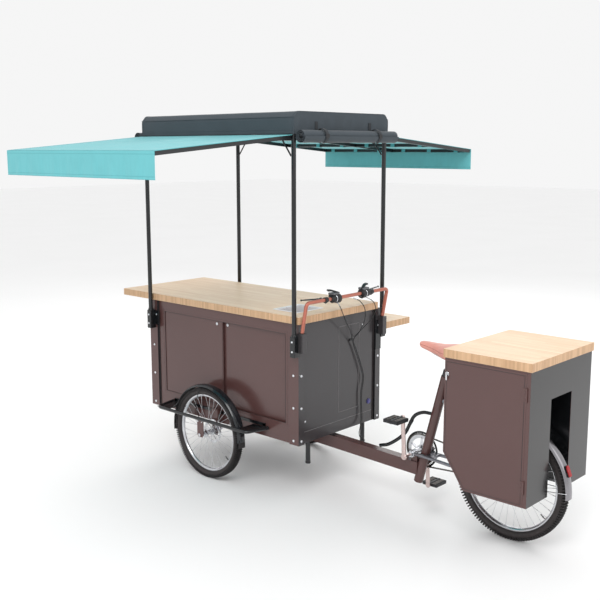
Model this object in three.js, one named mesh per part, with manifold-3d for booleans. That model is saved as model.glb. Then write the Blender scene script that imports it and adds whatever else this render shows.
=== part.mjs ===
// Pedal-driven vending tricycle: a steered front cabinet on two wheels with a canopy, awnings and a
// counter, and a chain-driven rear frame with a saddle and a two-sided storage box.
// Millimetres, +Z up, +X towards the rear wheel, -Y is the rider's left-hand side.
// Lengths along X are counted from the front axle; ORIGIN_X moves the finished group so that its own
// origin lies on the ground under the middle of its bounding box.
import * as THREE from 'three';
import { mergeVertices } from 'three/addons/utils/BufferGeometryUtils.js';
import Module from 'manifold-3d';

const wasm = await Module();
wasm.setup();

// ---------------------------------------------------------------- driving dimensions
const GAP = 0.3; // between pieces that touch
const ORIGIN_X = 671.5;

const FRONT_WHEEL_R = 300; // 24 inch
const REAR_WHEEL_R = 334; // 26 inch
const WHEELBASE = 1950;
const WHEEL_Y = 476; // front wheel's middle plane
const TYRE_W = 50;
const WHEEL_SEGMENTS = 32;
const WHEEL_START = Math.PI / WHEEL_SEGMENTS; // half a segment, so that a wheel stands on a flat
const SPOKES = 12;
const AXLE_R = 5.5;
const BORE_R = 7;
const HUB_R = 17;

const BOX = { x0: -678, x1: 730, half: 397, z0: 348, z1: 1100.7 }; // over the corner posts
const PROUD = 12; // how far the corner posts stand out of the panels
const SHEET = 3; // panel sheet
const POST = { alongX: 78, alongY: 50, leaf: 14, core: 30 };
const RAIL = 30;
const DOORWAY = { x0: -530, x1: 610, z0: 470, z1: 1026 };
const DOOR = { width: 592, z0: 458, z1: 1036, t: 6, lap: 10 };

const COUNTER = { x0: -957, x1: 744, y0: -409, y1: 352, z0: 1101, z1: 1146 };
const SINK = { x0: 425, x1: 640, y0: -310, y1: -60, rim: 18, depth: 135, t: 2 };

const POLE = { xFront: -634, xRear: 720, y: 424, r: 14, z0: 905, socketTop: 1030 };
const ROOF = { x0: -655, x1: 738, half: 440, z0: 2214, zChamfer: 2306, z1: 2343, chamfer: 32 };
const ROOF_SHEET = 4;
const ROLL = { r: 45, half: 441, z: 2202 };

const AWNING = { x0: -658, x1: 731, yIn: 446, yOut: 1436, zIn: 2206, zOut: 2120 };
const AWNING_TUBE = 22;
const AWNING_HINGE = { y: 446, z: 2183 };
const AWNING_LUGS = [-420, 40, 500];
const CLOTH_T = 3;
const VALANCE_H = 142;

const SHELF = { x0: -650, x1: 738, y0: 445, y1: 715, z0: 952, z1: 997 };
const SHELF_HINGE = { y: 441, z: 940, r: 6, xs: [-420, 20, 460], half: 30 };

const PIVOT_X = 300; // steering pivot under the cabinet
const BOOM_HALF = 30;
const BB = { x: 1312, z: 348 }; // bottom bracket
const CRANK = { length: 236, tilt: THREE.MathUtils.degToRad(3.6), y: 116, t: 14, width: 28 };
const PEDAL = { alongX: 104, in: 12, out: 124, t: 24, spindle: 108, bore: 114 };
const CHAIN_Y = 56;
const CHAIN_PITCH = 12.7;
const CHAINRING_R = (48 * CHAIN_PITCH) / (2 * Math.PI); // 48 teeth
const SPROCKET_R = (18 * CHAIN_PITCH) / (2 * Math.PI); // 18 teeth
const GUARD_R = 113;

const SEAT_FOOT = { x: 1335.7, z: 175 };
const SEAT_LEAN = Math.atan(0.262);
const SEAT_TUBE = { r: 28, length: 720, bore: 15.5, sides: 20 };
const SEAT_POST_R = 13.6;
const SEAT_POST_TOP = 790; // along the seat tube's own line
const SADDLE = { z0: 944, z1: 1042 };

const REAR_BOX = {
  x0: 1722, x1: 2223, half: 334, z0: 344, z1: 1048.7, wall: 12,
  slotHalf: 112, slotTop: 868, cutX: 1852, cutZ: 533, stileY: 30, lap: 14,
};
const REAR_DOOR = { x1: 2200.5, z1: 1039.5, t: 13.5, hingeX: 2203.5, hingeZ: [450, 930], knuckle: 35 };
const LATCH = { x: 1738, z: 962 };
const RACK = { y: 90, z: 861, x0: 1740, x1: 2190, r: 6.5 };
const LID = { x0: 1714, x1: 2231, half: 341, z0: 1049, z1: 1095 };

const HANDLEBAR = { xFoot: 753, xTop: 788, y: 389, zFoot: 1054, zTop: 1234, r: 11.5, bend: 30 };
const FOOT_RAIL = { x: 424, y: 547, z: 406, wallX: 462, r: 11 };
const LEG = { x: 690, y: 268, side: 33, z0: 201, length: 430, play: 0.6, sleeve: 6, sleeveTop: 480 };

// ---------------------------------------------------------------- materials
function finish(color, roughness, metalness) {
  return new THREE.MeshStandardMaterial({ color, roughness, metalness });
}

const brownPaint = finish('#6b5350', 0.3, 0.2);
const greyPaint = finish('#4a4a4c', 0.35, 0.3);
const blackPaint = finish('#1b1d20', 0.25, 0.4);
const wood = finish('#e3c394', 0.5, 0);
const copper = finish('#c07c68', 0.3, 0.7);
const leather = finish('#dd9c8b', 0.55, 0);
const steel = finish('#c9cbcf', 0.25, 1);
const rubber = finish('#22201f', 0.85, 0);
const canvas = finish('#78c6cc', 0.8, 0);
const roofCloth = finish('#4b5459', 0.8, 0);
const redLens = finish('#d0202a', 0.2, 0);

// ---------------------------------------------------------------- shape helpers
const vec = (x, y, z) => new THREE.Vector3(x, y, z);

// A box from two opposite corners given as [from, to] on each axis, in either order.
function block([xa, xb], [ya, yb], [za, zb]) {
  const geometry = new THREE.BoxGeometry(Math.abs(xb - xa), Math.abs(yb - ya), Math.abs(zb - za));
  return geometry.translate((xa + xb) / 2, (ya + yb) / 2, (za + zb) / 2);
}

// A round bar between two points.
function bar(r, from, to, sides = 12) {
  const along = to.clone().sub(from);
  const geometry = new THREE.CylinderGeometry(r, r, along.length(), sides);
  const turn = new THREE.Quaternion().setFromUnitVectors(vec(0, 1, 0), along.clone().normalize());
  const middle = from.clone().add(to).multiplyScalar(0.5);
  return geometry.applyQuaternion(turn).translate(middle.x, middle.y, middle.z);
}

// A rectangular bar whose width lies across Y, between two points in the XZ plane.
function flatBar(width, height, from, to) {
  const along = to.clone().sub(from);
  const geometry = new THREE.BoxGeometry(along.length(), width, height);
  const middle = from.clone().add(to).multiplyScalar(0.5);
  return geometry.rotateY(-Math.atan2(along.z, along.x)).translate(middle.x, middle.y, middle.z);
}

// An outline of [x, z] points pushed through from y0 to y1.
function plate(outline, y0, y1) {
  const shape = new THREE.Shape(outline.map(([x, z]) => new THREE.Vector2(x, z)));
  const depth = Math.abs(y1 - y0);
  const geometry = new THREE.ExtrudeGeometry(shape, { depth, bevelEnabled: false });
  return geometry.rotateX(Math.PI / 2).translate(0, Math.max(y0, y1), 0);
}

// A closed profile of [radius, y] points turned about an axis along Y. The start angle turns the
// polygon of segments about that axis.
function turned(profile, x, y, z, segments, start = 0) {
  const points = [...profile, profile[0]].map(([r, along]) => new THREE.Vector2(r, along));
  return new THREE.LatheGeometry(points, segments, start).translate(x, y, z);
}

const circle = (r, sides) => new THREE.EllipseCurve(0, 0, r, r).getPoints(sides).slice(0, sides);

// A round tube that follows a smooth curve through the points.
function tubeAlong(points, r, { steps = 24, sides = 8 } = {}) {
  const path = new THREE.CatmullRomCurve3(points, false, 'catmullrom', 0.5);
  const section = new THREE.Shape(circle(r, sides));
  return new THREE.ExtrudeGeometry(section, { steps, extrudePath: path, bevelEnabled: false });
}

// A path through fixed stops: an extrusion along it puts one section at each stop.
class StopPath extends THREE.Curve {
  constructor(stops) {
    super();
    this.stops = stops;
  }

  getPoint(t) {
    const at = Math.min(Math.floor(t * (this.stops.length - 1)), this.stops.length - 2);
    return this.stops[at].clone().lerp(this.stops[at + 1], t * (this.stops.length - 1) - at);
  }

  getSpacedPoints() {
    return this.stops;
  }

  getTangentAt(t) {
    const at = Math.round(t * (this.stops.length - 1));
    const before = this.stops[Math.max(at - 1, 0)];
    const after = this.stops[Math.min(at + 1, this.stops.length - 1)];
    return after.clone().sub(before).normalize();
  }
}

// A bent tube: straight lengths between corners that are rounded off over the given bend length.
function bentTube(corners, r, bend, { sides = 10, bendSteps = 4 } = {}) {
  const stops = [corners[0]];
  for (let i = 1; i < corners.length - 1; i += 1) {
    const start = corners[i].clone().add(corners[i - 1].clone().sub(corners[i]).setLength(bend));
    const end = corners[i].clone().add(corners[i + 1].clone().sub(corners[i]).setLength(bend));
    const curve = new THREE.QuadraticBezierCurve3(start, corners[i], end);
    stops.push(...curve.getPoints(bendSteps));
  }
  stops.push(corners[corners.length - 1]);
  const section = new THREE.Shape(circle(r, sides));
  const extrudePath = new StopPath(stops);
  return new THREE.ExtrudeGeometry(section, { steps: stops.length - 1, extrudePath, bevelEnabled: false });
}

// ---------------------------------------------------------------- booleans
function toManifold(geometry) {
  const bare = geometry.clone();
  bare.deleteAttribute('normal');
  bare.deleteAttribute('uv');
  const welded = mergeVertices(bare, 1e-4);
  const vertProperties = new Float32Array(welded.attributes.position.array);
  const triVerts = new Uint32Array(welded.index.array);
  return new wasm.Manifold(new wasm.Mesh({ numProp: 3, vertProperties, triVerts }));
}

function toGeometry(manifold) {
  const mesh = manifold.getMesh();
  const geometry = new THREE.BufferGeometry();
  geometry.setAttribute('position', new THREE.BufferAttribute(mesh.vertProperties, 3));
  geometry.setIndex(new THREE.BufferAttribute(mesh.triVerts, 1));
  geometry.computeVertexNormals();
  return geometry;
}

function join(...pieces) {
  const [first, ...rest] = pieces.map(toManifold);
  return toGeometry(rest.reduce((whole, piece) => whole.add(piece), first));
}

function cut(body, ...tools) {
  return toGeometry(tools.map(toManifold).reduce((left, tool) => left.subtract(tool), toManifold(body)));
}

function common(a, b) {
  return toGeometry(toManifold(a).intersect(toManifold(b)));
}

const cart = new THREE.Group();
cart.position.x = -ORIGIN_X;

function add(name, geometry, material) {
  const mesh = new THREE.Mesh(geometry, material);
  mesh.name = name;
  cart.add(mesh);
  return mesh;
}

const SIDES = [['left', -1], ['right', 1]];

// ---------------------------------------------------------------- wheels
// A tyre whose tread facets all touch the circle of the wheel's radius.
function tyre(x, y, radius, bead) {
  const w = TYRE_W / 2;
  const outer = radius / Math.cos(WHEEL_START);
  return turned([
    [bead, -w * 0.6], [bead + 16, -w], [outer - 12, -w * 0.8], [outer, -w * 0.24],
    [outer, w * 0.24], [outer - 12, w * 0.8], [bead + 16, w], [bead, w * 0.6],
  ], x, y, radius, WHEEL_SEGMENTS, WHEEL_START);
}

// Rim, spokes and bored hub in one piece. Each disc is [radius, from, to] along the axle.
function lacedWheel(x, y, z, bead, hubHalf, discs) {
  const rimR = bead - GAP;
  const rim = turned(
    [[rimR, -13], [rimR, 13], [rimR - 18, 9], [rimR - 18, -9]], x, y, z, WHEEL_SEGMENTS, WHEEL_START,
  );
  const hub = turned(
    [[BORE_R, -hubHalf], [HUB_R, -hubHalf], [HUB_R, hubHalf], [BORE_R, hubHalf]], x, y, z, 12,
  );
  const spokes = [];
  for (let i = 0; i < SPOKES; i += 1) {
    const angle = ((i + 0.5) * 2 * Math.PI) / SPOKES;
    const flangeY = y + (i % 2 ? 1 : -1) * hubHalf * 0.62;
    const inner = vec(x + (HUB_R - 3) * Math.sin(angle), flangeY, z + (HUB_R - 3) * Math.cos(angle));
    const outer = vec(x + (rimR - 10) * Math.sin(angle), y, z + (rimR - 10) * Math.cos(angle));
    spokes.push(bar(1.6, inner, outer, 4));
  }
  const plates = discs.map(([r, from, to]) => (
    turned([[BORE_R + 5, from], [r, from], [r, to], [BORE_R + 5, to]], x, y, z, 20)
  ));
  return join(rim, hub, ...spokes, ...plates);
}

const FRONT_BEAD = 254;
const REAR_BEAD = 282;
const FRONT_HUB_HALF = 48;
const REAR_HUB_HALF = 61;

for (const [name, side] of SIDES) {
  const y = side * WHEEL_Y;
  const rotor = [80, -side * 39 - 1.5, -side * 39 + 1.5];
  add(`front_tyre_${name}`, tyre(0, y, FRONT_WHEEL_R, FRONT_BEAD), rubber);
  add(`front_wheel_${name}`, lacedWheel(0, y, FRONT_WHEEL_R, FRONT_BEAD, FRONT_HUB_HALF, [rotor]), steel);
}
add('rear_tyre', tyre(WHEELBASE, 0, REAR_WHEEL_R, REAR_BEAD), rubber);
add(
  'rear_wheel',
  lacedWheel(WHEELBASE, 0, REAR_WHEEL_R, REAR_BEAD, REAR_HUB_HALF, [
    [SPROCKET_R - 5, CHAIN_Y - 1, CHAIN_Y + 1],
  ]),
  steel,
);

// ---------------------------------------------------------------- rear frame
const seatPoint = (along, y = 0) => vec(
  SEAT_FOOT.x + along * Math.sin(SEAT_LEAN), y, SEAT_FOOT.z + along * Math.cos(SEAT_LEAN),
);

// A round bar on the seat tube's own line; grown by the gap, it cuts the room that the tube needs.
const seatBar = (grow, from, to) => (
  bar(SEAT_TUBE.r + grow, seatPoint(from), seatPoint(to), SEAT_TUBE.sides)
);

const HEAD = { r: 34, bore: 17, z0: 246, z1: 343 };

function mainBoom() {
  const beam = flatBar(2 * BOOM_HALF, 77, vec(PIVOT_X, 0, 292), vec(1343, 0, 260));
  const head = bar(HEAD.r, vec(PIVOT_X, 0, HEAD.z0), vec(PIVOT_X, 0, HEAD.z1), 20);
  const shell = bar(21, vec(BB.x, -34, BB.z), vec(BB.x, 34, BB.z), 16);
  const saddleBlock = block([BB.x - 20, BB.x + 24], [-20, 20], [285, BB.z - 12]);
  const pinHole = bar(HEAD.bore, vec(PIVOT_X, 0, 200), vec(PIVOT_X, 0, 400), 16);
  const axleHole = bar(10.5, vec(BB.x, -50, BB.z), vec(BB.x, 50, BB.z), 12);
  const seatTubeSpace = seatBar(GAP, -20, 300);
  return cut(join(beam, head, shell, saddleBlock), pinHole, axleHole, seatTubeSpace);
}

function seatTube() {
  const clamp = bar(24, seatPoint(SEAT_TUBE.length - 26), seatPoint(SEAT_TUBE.length + 14), 16);
  const bolt = bar(4, seatPoint(SEAT_TUBE.length + 5, -38), seatPoint(SEAT_TUBE.length + 5, 38), 8);
  const body = join(seatBar(0, 0, SEAT_TUBE.length), clamp, bolt);
  return cut(body, bar(SEAT_TUBE.bore, seatPoint(345), seatPoint(SEAT_TUBE.length + 40), 16));
}

function topTube() {
  const points = [
    vec(1046, 0, 330), vec(1110, 0, 352), vec(1180, 0, 400), vec(1234, 0, 452),
    vec(1266, 0, 512), vec(1300, 0, 570), vec(1360, 0, 602), vec(1429.5, 0, 606),
  ];
  const tube = tubeAlong(points, 10.5, { steps: 26, sides: 8 });
  return cut(tube, seatBar(GAP, 300, 560));
}

const STAY = { front: 42.5, bend: 45, rear: 74, r: 10, bendX: 1450, z: 350 };
const SEAT_STAY = { x: 1540, y: 44, z: 700, r: 7, dropoutZ: 346 };

// Chain stays, seat stays and the rack above the rear wheel, welded into one frame.
function rearFork() {
  const pieces = [];
  for (const [, side] of SIDES) {
    const dropout = vec(WHEELBASE - 6, side * STAY.rear, REAR_WHEEL_R);
    const stayFront = vec(BB.x + 24, side * STAY.front, BB.z + 6);
    const seatStayTop = vec(SEAT_STAY.x, side * SEAT_STAY.y, SEAT_STAY.z);
    const seatStayFoot = vec(WHEELBASE, side * STAY.rear, SEAT_STAY.dropoutZ);
    const rackFront = vec(RACK.x0, side * RACK.y, RACK.z);
    const rackRear = vec(RACK.x1, side * RACK.y, RACK.z);
    pieces.push(
      bar(STAY.r, stayFront, vec(STAY.bendX, side * STAY.bend, STAY.z), 6),
      bar(STAY.r, vec(STAY.bendX - 1, side * STAY.bend, STAY.z), dropout, 6),
      bar(SEAT_STAY.r, seatStayTop, seatStayFoot, 6),
      bar(SEAT_STAY.r, seatStayFoot, vec(WHEELBASE, side * RACK.y, RACK.z), 6),
      bar(RACK.r, rackFront, rackRear, 6),
      block([WHEELBASE - 24, WHEELBASE + 20], [side * 70, side * 77], [314, 362]),
    );
  }
  pieces.push(
    bar(AXLE_R, vec(WHEELBASE, -84, REAR_WHEEL_R), vec(WHEELBASE, 84, REAR_WHEEL_R), 8),
    block([STAY.bendX - 50, STAY.bendX + 8], [-48, 48], [STAY.z - 9, STAY.z + 9]),
    bar(7, vec(SEAT_STAY.x, -46, SEAT_STAY.z), vec(SEAT_STAY.x, 46, SEAT_STAY.z), 6),
    bar(6, vec(RACK.x0 + 5, -RACK.y - 2, RACK.z), vec(RACK.x0 + 5, RACK.y + 2, RACK.z), 6),
    block([SEAT_STAY.x - 60, SEAT_STAY.x + 5], [-12, 12], [SEAT_STAY.z - 10, SEAT_STAY.z + 10]),
  );
  return cut(join(...pieces), seatBar(GAP, -20, 660));
}

function driveChain() {
  const halfTurn = Array.from({ length: 11 }, (_, i) => THREE.MathUtils.degToRad(90 + i * 18));
  const halfCircle = (x, z, r) => halfTurn.map((a) => [x + r * Math.cos(a), z + r * Math.sin(a)]);
  const outline = (grow) => [
    ...halfCircle(BB.x, BB.z, CHAINRING_R + grow),
    ...halfCircle(WHEELBASE, REAR_WHEEL_R, -SPROCKET_R - grow),
  ];
  const outer = plate(outline(5.5), CHAIN_Y - 4, CHAIN_Y + 4);
  return cut(outer, plate(outline(-3), CHAIN_Y - 10, CHAIN_Y + 10));
}

function crankSet() {
  const reach = vec(Math.sin(CRANK.tilt), 0, -Math.cos(CRANK.tilt)).multiplyScalar(CRANK.length);
  const axleEnd = CRANK.y + CRANK.t / 2 - 1;
  const pieces = [bar(8, vec(BB.x, -axleEnd, BB.z), vec(BB.x, axleEnd, BB.z), 10)];
  for (const [, side] of SIDES) {
    const hub = vec(BB.x, side * CRANK.y, BB.z);
    const end = hub.clone().addScaledVector(reach, side);
    const half = vec(0, CRANK.t / 2, 0);
    pieces.push(bar(18, hub.clone().sub(half), hub.clone().add(half), 12));
    pieces.push(bar(15, end.clone().sub(half), end.clone().add(half), 10));
    const arm = new THREE.BoxGeometry(CRANK.width, CRANK.t - 2, CRANK.length).rotateY(-CRANK.tilt);
    const middle = hub.clone().add(end).multiplyScalar(0.5);
    pieces.push(arm.translate(middle.x, middle.y, middle.z));
    pieces.push(bar(5, end, end.clone().add(vec(0, side * PEDAL.spindle, 0)), 8));
  }
  const disc = (r, y, t, sides) => bar(r, vec(BB.x, y - t / 2, BB.z), vec(BB.x, y + t / 2, BB.z), sides);
  const chainring = disc(CHAINRING_R - 4.5, CHAIN_Y, 3, 32);
  const guard = disc(GUARD_R, CHAIN_Y + 8, 3, 32);
  const spider = disc(40, CHAIN_Y + 4, 12, 12);
  return join(...pieces, chainring, guard, spider);
}

function pedal(side) {
  const endX = BB.x + side * CRANK.length * Math.sin(CRANK.tilt);
  const endZ = BB.z - side * CRANK.length * Math.cos(CRANK.tilt);
  const ys = [side * (CRANK.y + PEDAL.in), side * (CRANK.y + PEDAL.out)];
  const half = PEDAL.alongX / 2;
  const body = block([endX - half, endX + half], ys, [endZ - PEDAL.t / 2, endZ + PEDAL.t / 2]);
  const boreEnd = side * (CRANK.y + PEDAL.bore);
  const bore = bar(6.5, vec(endX, ys[0] - side * 5, endZ), vec(endX, boreEnd, endZ), 12);
  return cut(body, bore);
}

function rearMudguard() {
  const inner = REAR_WHEEL_R + 11;
  const outer = REAR_WHEEL_R + 16;
  const ring = turned([
    [inner, -26], [inner - 10, -32], [inner - 7, -34], [outer, -27],
    [outer, 27], [inner - 7, 34], [inner - 10, 32], [inner, 26],
  ], WHEELBASE, 0, REAR_WHEEL_R, 48);
  const reach = 500;
  const frontEnd = THREE.MathUtils.degToRad(158);
  const fromAxle = ([x, z]) => [WHEELBASE + x, REAR_WHEEL_R + z];
  const keep = plate([
    [0, 0], [reach, -26], [reach, reach], [-reach, reach],
    [reach * Math.cos(frontEnd), reach * Math.sin(frontEnd)],
  ].map(fromAxle), -60, 60);
  return common(ring, keep);
}

function tailReflector() {
  const angle = THREE.MathUtils.degToRad(22);
  const lens = new THREE.BoxGeometry(11, 50, 62).rotateY(-angle);
  const r = REAR_WHEEL_R + 23;
  return lens.translate(WHEELBASE + r * Math.cos(angle), 0, REAR_WHEEL_R + r * Math.sin(angle));
}

add('main_boom', mainBoom(), brownPaint);
add('seat_tube', seatTube(), brownPaint);
add('top_tube', topTube(), blackPaint);
add('rear_fork', rearFork(), greyPaint);
add('drive_chain', driveChain(), greyPaint);
add('crank_set', crankSet(), steel);
add('pedal_left', pedal(-1), blackPaint);
add('pedal_right', pedal(1), blackPaint);
add('rear_mudguard', rearMudguard(), greyPaint);
add('tail_reflector', tailReflector(), redLens);

// ---------------------------------------------------------------- saddle
function saddle() {
  const half = [
    [1330, 14], [1345, 21], [1420, 30], [1480, 52], [1530, 82], [1575, 88], [1600, 62], [1606, 20],
  ];
  const outline = [...half, ...half.slice().reverse().map(([x, y]) => [x, -y])];
  const shape = new THREE.Shape(outline.map(([x, y]) => new THREE.Vector2(x, y)));
  const slab = new THREE.ExtrudeGeometry(shape, { depth: SADDLE.z1 - SADDLE.z0, bevelEnabled: false });
  return slab.translate(0, 0, SADDLE.z0);
}

add('seat_post', bar(SEAT_POST_R, seatPoint(540), seatPoint(SEAT_POST_TOP), 14), steel);
add('saddle', saddle(), leather);

// ---------------------------------------------------------------- rear storage box
// The box seen from the side, its lower front corner cut off; grown all round, or shrunk if negative.
function boxOutline(grow) {
  const b = REAR_BOX;
  const [x0, x1, z0, z1] = [b.x0 - grow, b.x1 + grow, b.z0 - grow, b.z1 + grow];
  return [[x0, z1], [x0, b.cutZ - grow / 2], [b.cutX - grow / 2, z0], [x1, z0], [x1, z1]];
}

function rearBoxShell() {
  const b = REAR_BOX;
  const body = plate(boxOutline(0), -b.half, b.half);
  const slot = block([b.x0 - 50, b.x1 + 50], [-b.slotHalf, b.slotHalf], [b.z0 - 50, b.slotTop]);
  const inside = plate(boxOutline(-b.wall), b.stileY - b.half, b.half - b.stileY);
  const sideOpening = cut(
    plate(boxOutline(-b.wall), -b.half - 20, b.half + 20),
    block([REAR_DOOR.x1 - b.lap, b.x1 + 10], [-b.half - 30, b.half + 30], [b.z0 - 10, b.z1 + 10]),
  );
  const tunnelHalf = b.slotHalf + b.wall;
  const tunnel = block([b.x0, b.x1], [-tunnelHalf, tunnelHalf], [b.z0 - 10, b.slotTop + b.wall]);
  const rebates = SIDES.map(([, side]) => block(
    [b.x0 - 10, REAR_DOOR.x1 + 0.5],
    [side * (b.half - REAR_DOOR.t - GAP), side * (b.half + 10)],
    [b.z0 - 10, REAR_DOOR.z1 + 0.5],
  ));
  return cut(body, slot, cut(inside, tunnel), cut(sideOpening, tunnel), ...rebates);
}

function rearBoxDoor(side) {
  const b = REAR_BOX;
  const d = REAR_DOOR;
  const outline = [[b.x0, d.z1], [b.x0, b.cutZ], [b.cutX, b.z0], [d.x1, b.z0], [d.x1, d.z1]];
  const pieces = [plate(outline, side * (b.half - d.t), side * b.half)];
  for (const z of d.hingeZ) {
    const leafY = [side * (b.half - 2), side * (b.half + 3)];
    const barrel = (end) => vec(d.hingeX, side * (b.half + 5), z + end * d.knuckle);
    pieces.push(
      block([d.x1 - 22.5, d.x1], leafY, [z - d.knuckle, z + d.knuckle]),
      bar(4.5, barrel(-1), barrel(1), 10),
    );
  }
  return join(...pieces);
}

function boxLatch(side) {
  const y = side * REAR_BOX.half;
  const boss = bar(9, vec(LATCH.x, y + side * GAP, LATCH.z), vec(LATCH.x, y + side * 7, LATCH.z), 12);
  const leverZ = [LATCH.z - 32, LATCH.z + 6];
  return join(boss, block([LATCH.x - 5, LATCH.x + 5], [y + side * 4, y + side * 13], leverZ));
}

add('rear_box_shell', rearBoxShell(), greyPaint);
add('rear_box_lid', block([LID.x0, LID.x1], [-LID.half, LID.half], [LID.z0, LID.z1]), wood);
for (const [name, side] of SIDES) {
  add(`rear_box_door_${name}`, rearBoxDoor(side), brownPaint);
  add(`box_latch_${name}`, boxLatch(side), steel);
}

// ---------------------------------------------------------------- cabinet
const PANEL_Y = BOX.half - PROUD;
const PANEL_X0 = BOX.x0 + POST.leaf;
const PANEL_X1 = BOX.x1 - POST.leaf;
const CORE_X0 = [PANEL_X0 + GAP, PANEL_X0 + POST.core];
const CORE_X1 = [PANEL_X1 - POST.core, PANEL_X1 - GAP];

function cornerPost(end, side) {
  const outerX = end < 0 ? BOX.x0 : BOX.x1;
  const coreX = end < 0 ? CORE_X0 : CORE_X1;
  const outerY = side * BOX.half;
  const zs = [BOX.z0, BOX.z1];
  return [
    block([outerX, outerX - end * POST.alongX], [side * PANEL_Y, outerY], zs),
    block([outerX, outerX - end * POST.leaf], [side * (BOX.half - POST.alongY), outerY], zs),
    block([coreX[0] - 5, coreX[1] + 5], [side * (PANEL_Y - POST.core), side * (PANEL_Y + 1)], zs),
  ];
}

const RING_Y = PANEL_Y - SHEET - 1;
const RING_X0 = PANEL_X0 + SHEET + 1;
const RING_X1 = PANEL_X1 - SHEET - 1;

function railRing(z0, z1) {
  const innerY = RING_Y - RAIL;
  return [
    block([RING_X0, RING_X1], [-RING_Y, -innerY], [z0, z1]),
    block([RING_X0, RING_X1], [innerY, RING_Y], [z0, z1]),
    block([RING_X0, RING_X0 + RAIL], [-RING_Y, RING_Y], [z0, z1]),
    block([RING_X1 - RAIL, RING_X1], [-RING_Y, RING_Y], [z0, z1]),
  ];
}

// Everything fixed to the outside of the posts on one side, with the holes that pass through it.
function sideFittings(side) {
  const sockets = [POLE.xFront, POLE.xRear].map((x) => (
    block([x - 18, x + 18], [side * (BOX.half - 1), side * (POLE.y + 17)], [POLE.z0, POLE.socketTop])
  ));
  const barY = side * HANDLEBAR.y;
  const barSleeve = block(
    [BOX.x1 - 1, HANDLEBAR.xFoot + 19], [barY - 19, barY + 19], [930, HANDLEBAR.zFoot - 6],
  );
  const legY = side * LEG.y;
  const half = LEG.side / 2 + LEG.sleeve;
  const free = LEG.side / 2 + LEG.play;
  const legSleeve = block(
    [LEG.x - half, LEG.x + half], [legY - half, legY + half], [BOX.z0 + 2, LEG.sleeveTop],
  );
  const legHole = block([LEG.x - free, LEG.x + free], [legY - free, legY + free], [300, 600]);
  const poleHoles = [POLE.xFront, POLE.xRear].map((x) => (
    bar(POLE.r + 0.6, vec(x, side * POLE.y, POLE.z0 + 8), vec(x, side * POLE.y, 1100), 12)
  ));
  return { solids: [...sockets, barSleeve, legSleeve], holes: [legHole, ...poleHoles] };
}

// The cabinet's half of one shelf hinge: a leaf behind the panel, an arm through it and a knuckle.
function shelfHinge(x) {
  const h = SHELF_HINGE;
  const xs = [x - h.half, x + h.half];
  return [
    block(xs, [RING_Y - 4, PANEL_Y + SHEET + 1], [h.z - 10, BOX.z1 - 12]),
    block(xs, [PANEL_Y, h.y], [h.z - 10, h.z]),
    bar(h.r, vec(xs[0], h.y, h.z), vec(xs[1], h.y, h.z), 8),
  ];
}

function boxFrame() {
  const posts = [[-1, -1], [-1, 1], [1, -1], [1, 1]].flatMap(([end, side]) => cornerPost(end, side));
  const rings = [
    ...railRing(BOX.z0 + 2, BOX.z0 + 2 + RAIL),
    ...railRing(BOX.z1 - 1 - RAIL, BOX.z1 - 1),
  ];
  const floorX = [RING_X0 + 5, RING_X1 - 5];
  const floor = block(floorX, [-RING_Y + 5, RING_Y - 5], [BOX.z0 + 4, BOX.z0 + 14]);
  const turntable = bar(60, vec(PIVOT_X, 0, HEAD.z1 + GAP), vec(PIVOT_X, 0, BOX.z0 + 6), 24);
  const pivotPin = bar(HEAD.bore - 1, vec(PIVOT_X, 0, HEAD.z0 - 8), vec(PIVOT_X, 0, BOX.z0 + 6), 16);
  const fittings = SIDES.map(([, side]) => sideFittings(side));
  const solids = [
    ...posts, ...rings, floor, turntable, pivotPin,
    ...fittings.flatMap((fitting) => fitting.solids), ...SHELF_HINGE.xs.flatMap(shelfHinge),
  ];
  return cut(join(...solids), ...fittings.flatMap((fitting) => fitting.holes));
}

const PANEL_Z = [BOX.z0 + GAP, BOX.z1 - GAP];
const END_PANEL_HALF = PANEL_Y - POST.core - GAP;

function leftPanel() {
  const xs = [CORE_X0[1] + 5 + GAP, CORE_X1[0] - 5 - GAP];
  const sheet = block(xs, [-PANEL_Y + GAP, -PANEL_Y + SHEET], PANEL_Z);
  const d = DOORWAY;
  const doorway = block([d.x0, d.x1], [-PANEL_Y - 10, -PANEL_Y + 10], [d.z0, d.z1]);
  const track = (z) => block([d.x0 - 70, d.x1 + 40], [-PANEL_Y + 1, -PANEL_Y + 30], [z, z + 6]);
  return join(cut(sheet, doorway), track(DOOR.z0 - 7), track(DOOR.z1 + 1));
}

function rightPanel() {
  const xs = [CORE_X0[1] + 5 + GAP, CORE_X1[0] - 5 - GAP];
  const sheet = block(xs, [PANEL_Y - SHEET, PANEL_Y - GAP], PANEL_Z);
  const hingeSlots = SHELF_HINGE.xs.map((x) => (
    block(
      [x - SHELF_HINGE.half - 1, x + SHELF_HINGE.half + 1],
      [PANEL_Y - 20, PANEL_Y + 20],
      [SHELF_HINGE.z - 11, BOX.z1 + 5],
    )
  ));
  return cut(sheet, ...hingeSlots);
}

function slidingDoor(x0, trackY, lockX) {
  const sheet = block([x0, x0 + DOOR.width], [trackY, trackY + DOOR.t], [DOOR.z0, DOOR.z1]);
  const lock = bar(9, vec(lockX, trackY + 1, 1009), vec(lockX, trackY - 1.5, 1009), 12);
  return join(sheet, lock);
}

const OUTER_TRACK = -PANEL_Y + SHEET + 0.6;
const INNER_TRACK = OUTER_TRACK + DOOR.t + 8;
const MEETING_X = 45;

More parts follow.
